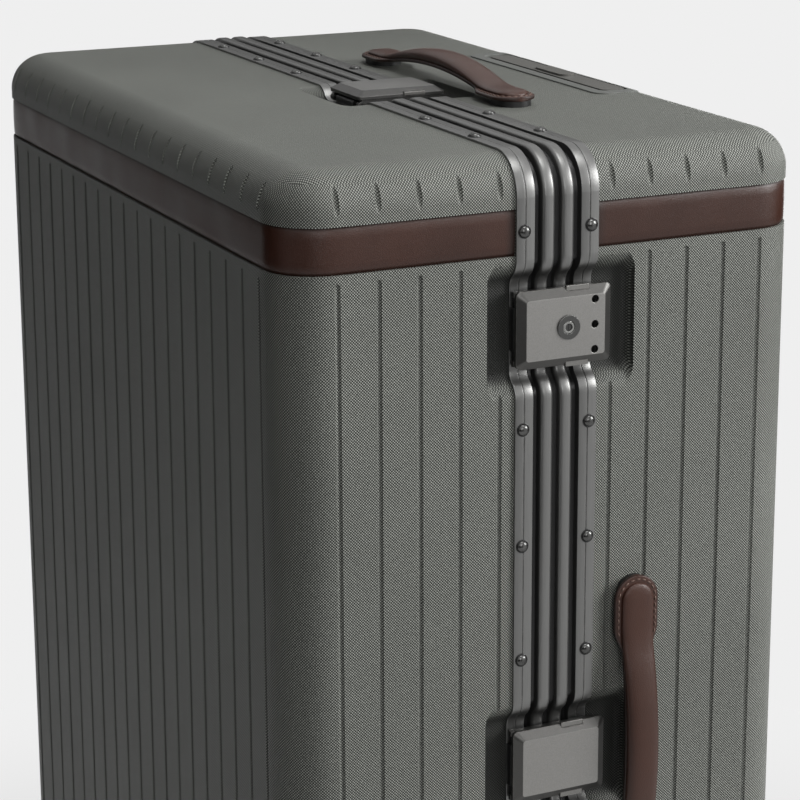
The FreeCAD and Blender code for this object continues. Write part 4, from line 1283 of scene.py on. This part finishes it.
# Stage: pale floor, soft lights, dark cards and the camera
stageLook = {"background": 0.863, "worldFill": 0.04, "cardShade": 0.02,
             "floorHalf": 14.0, "floorDiffuse": 0.38, "floorPale": 0.8, "floorLift": 0.6,
             "nearRadius": 0.33, "farRadius": 0.9}
cameraLook = {"place": (1.4292, -0.647, 0.9997), "pitch": 14.274, "yaw": 63.924, "lens": 117.0,
              "sensor": 36.0, "shift": (-0.055, -0.1)}
caseMiddle = (0, 0, 0.45)
softboxes = {  # place, target, size and watts
    "keySoftbox": ((1.45, 2.1, 1.5), caseMiddle, (1.1, 1.1), 60.0),
    "cornerSoftbox": ((2.6, -0.45, 1.3), caseMiddle, (0.8, 1.4), 12.0),
    "topSoftbox": ((0.6, 0.25, 2.5), caseMiddle, (0.9, 0.9), 15.0),
    "backSoftbox": ((-2.1, 1.5, 0.42), (-0.1, 0.1, 0.42), (1.6, 0.6), 16.0),
}
cards = {  # from, to, bottom and top
    "frontFlag": ((-1.6, -0.55), (0.35, -1.05), 0.0, 1.3),
    "cameraFlag": ((0.6, -1.3), (1.7, -0.6), 0.0, 0.8),
    "lensFlag": ((1.7, -0.6), (1.85, 0.42), 0.0, 0.75),
    "topFlag": ((-1.55, -0.4), (-0.62, 1.45), 0.72, 1.2),
    "backFlag": ((0.7, 1.5), (-0.9, 1.5), 0.0, 0.8),
}


def seenDirectly(tree):
    rays = put(tree, "ShaderNodeLightPath").outputs
    seen = calc(tree, "ADD", rays["Is Camera Ray"], rays["Is Glossy Ray"])
    return calc(tree, "ADD", seen, rays["Is Transmission Ray"], clamp=True)


def addPanel(name, corners, material):
    mesh = bpy.data.meshes.new(name)
    mesh.from_pydata(corners, [], [(0, 1, 2, 3)])
    mesh.materials.append(material)
    panel = bpy.data.objects.new(name, mesh)
    scene.collection.objects.link(panel)
    return panel


def makeFloor():
    # The floor keeps the case's shadow near it and fades into the background farther out
    look = stageLook
    material = bpy.data.materials.new("paleFloor")
    tree = startTree(material)
    away = put(tree, "ShaderNodeVectorMath", {0: objectPlace(tree)}, operation="LENGTH").outputs["Value"]
    fade = {0: away, 1: look["nearRadius"], 2: look["farRadius"], 3: look["floorLift"], 4: 1.0}
    far = put(tree, "ShaderNodeMapRange", fade, interpolation_type="SMOOTHSTEP").outputs[0]
    seen = seenDirectly(tree)
    level = blendValue(tree, seen, look["floorDiffuse"], look["floorPale"])
    matt = put(tree, "ShaderNodeBsdfDiffuse", {"Color": level})
    glow = put(tree, "ShaderNodeEmission", {"Color": rgba(grey(look["background"])), "Strength": 1.0})
    share = calc(tree, "MULTIPLY", far, seen)
    mixed = put(tree, "ShaderNodeMixShader", {0: share, 1: matt.outputs[0], 2: glow.outputs[0]})
    put(tree, "ShaderNodeOutputMaterial", {0: mixed.outputs[0]})
    half = look["floorHalf"]
    addPanel("floor", [(-half, -half, 0), (half, -half, 0), (half, half, 0), (-half, half, 0)], material)


def makeWorld():
    world = bpy.data.worlds.new("studio")
    tree = startTree(world)
    level = blendValue(tree, seenDirectly(tree), stageLook["worldFill"], stageLook["background"])
    shade = put(tree, "ShaderNodeBackground", {"Color": rgba(grey(1.0)), "Strength": level})
    put(tree, "ShaderNodeOutputWorld", {0: shade.outputs[0]})
    scene.world = world


def addSoftbox(name, place, target, size, power):
    light = bpy.data.lights.new(name, "AREA")
    light.shape = "RECTANGLE"
    light.size, light.size_y = size
    light.energy = power
    softbox = bpy.data.objects.new(name, light)
    softbox.location = place
    softbox.rotation_euler = (Vector(target) - Vector(place)).to_track_quat("-Z", "Y").to_euler()
    scene.collection.objects.link(softbox)


def makeCardMaterial():
    material = bpy.data.materials.new("blackCard")
    tree = startTree(material)
    matt = put(tree, "ShaderNodeBsdfDiffuse", {"Color": rgba(grey(stageLook["cardShade"]))})
    put(tree, "ShaderNodeOutputMaterial", {0: matt.outputs[0]})
    return material


def addCard(name, start, finish, low, high, material):
    # A black card near the case, as a studio sets one, seen only in reflections
    card = addPanel(name, [(*start, low), (*finish, low), (*finish, high), (*start, high)], material)
    card.visible_camera = False
    card.visible_shadow = False


def addCamera():
    look = cameraLook
    lens = bpy.data.cameras.new("photoCamera")
    lens.lens = look["lens"]
    lens.sensor_width = look["sensor"]
    lens.shift_x, lens.shift_y = look["shift"]
    lens.dof.use_dof = False
    camera = bpy.data.objects.new("photoCamera", lens)
    camera.location = look["place"]
    camera.rotation_euler = (math.radians(90 - look["pitch"]), 0, math.radians(look["yaw"]))
    scene.collection.objects.link(camera)
    scene.camera = camera


makeFloor()
makeWorld()
for name, settings in softboxes.items():
    addSoftbox(name, *settings)
blackCard = makeCardMaterial()
for name, settings in cards.items():
    addCard(name, *settings, blackCard)
addCamera()
scene.view_settings.view_transform = "Standard"
print("stage ready")


# Every CAD node takes its slot's material, apart from those with a finish of their own
# The latch levers take plates with painted shade on their rims
ownFinish = {"top_latch_lever": "topPlateShadedRim", "upper_latch_lever": "sidePlateShadedRim",
             "middle_latch_lever": "sidePlateShadedRim", "lower_latch_lever": "sidePlateShadedRim",
             "upper_lock_collar": "collar", "lower_lock_collar": "collar",
             "trolley_grip": "grip", "trolley_button": "grip"}
for part in frame["record"]["subparts"]:
    mesh = nodes[part["node"]].data
    mesh.materials.clear()
    mesh.materials.append(materials[ownFinish.get(part["node"], part["material_slot"])])
print("CAD nodes dressed")
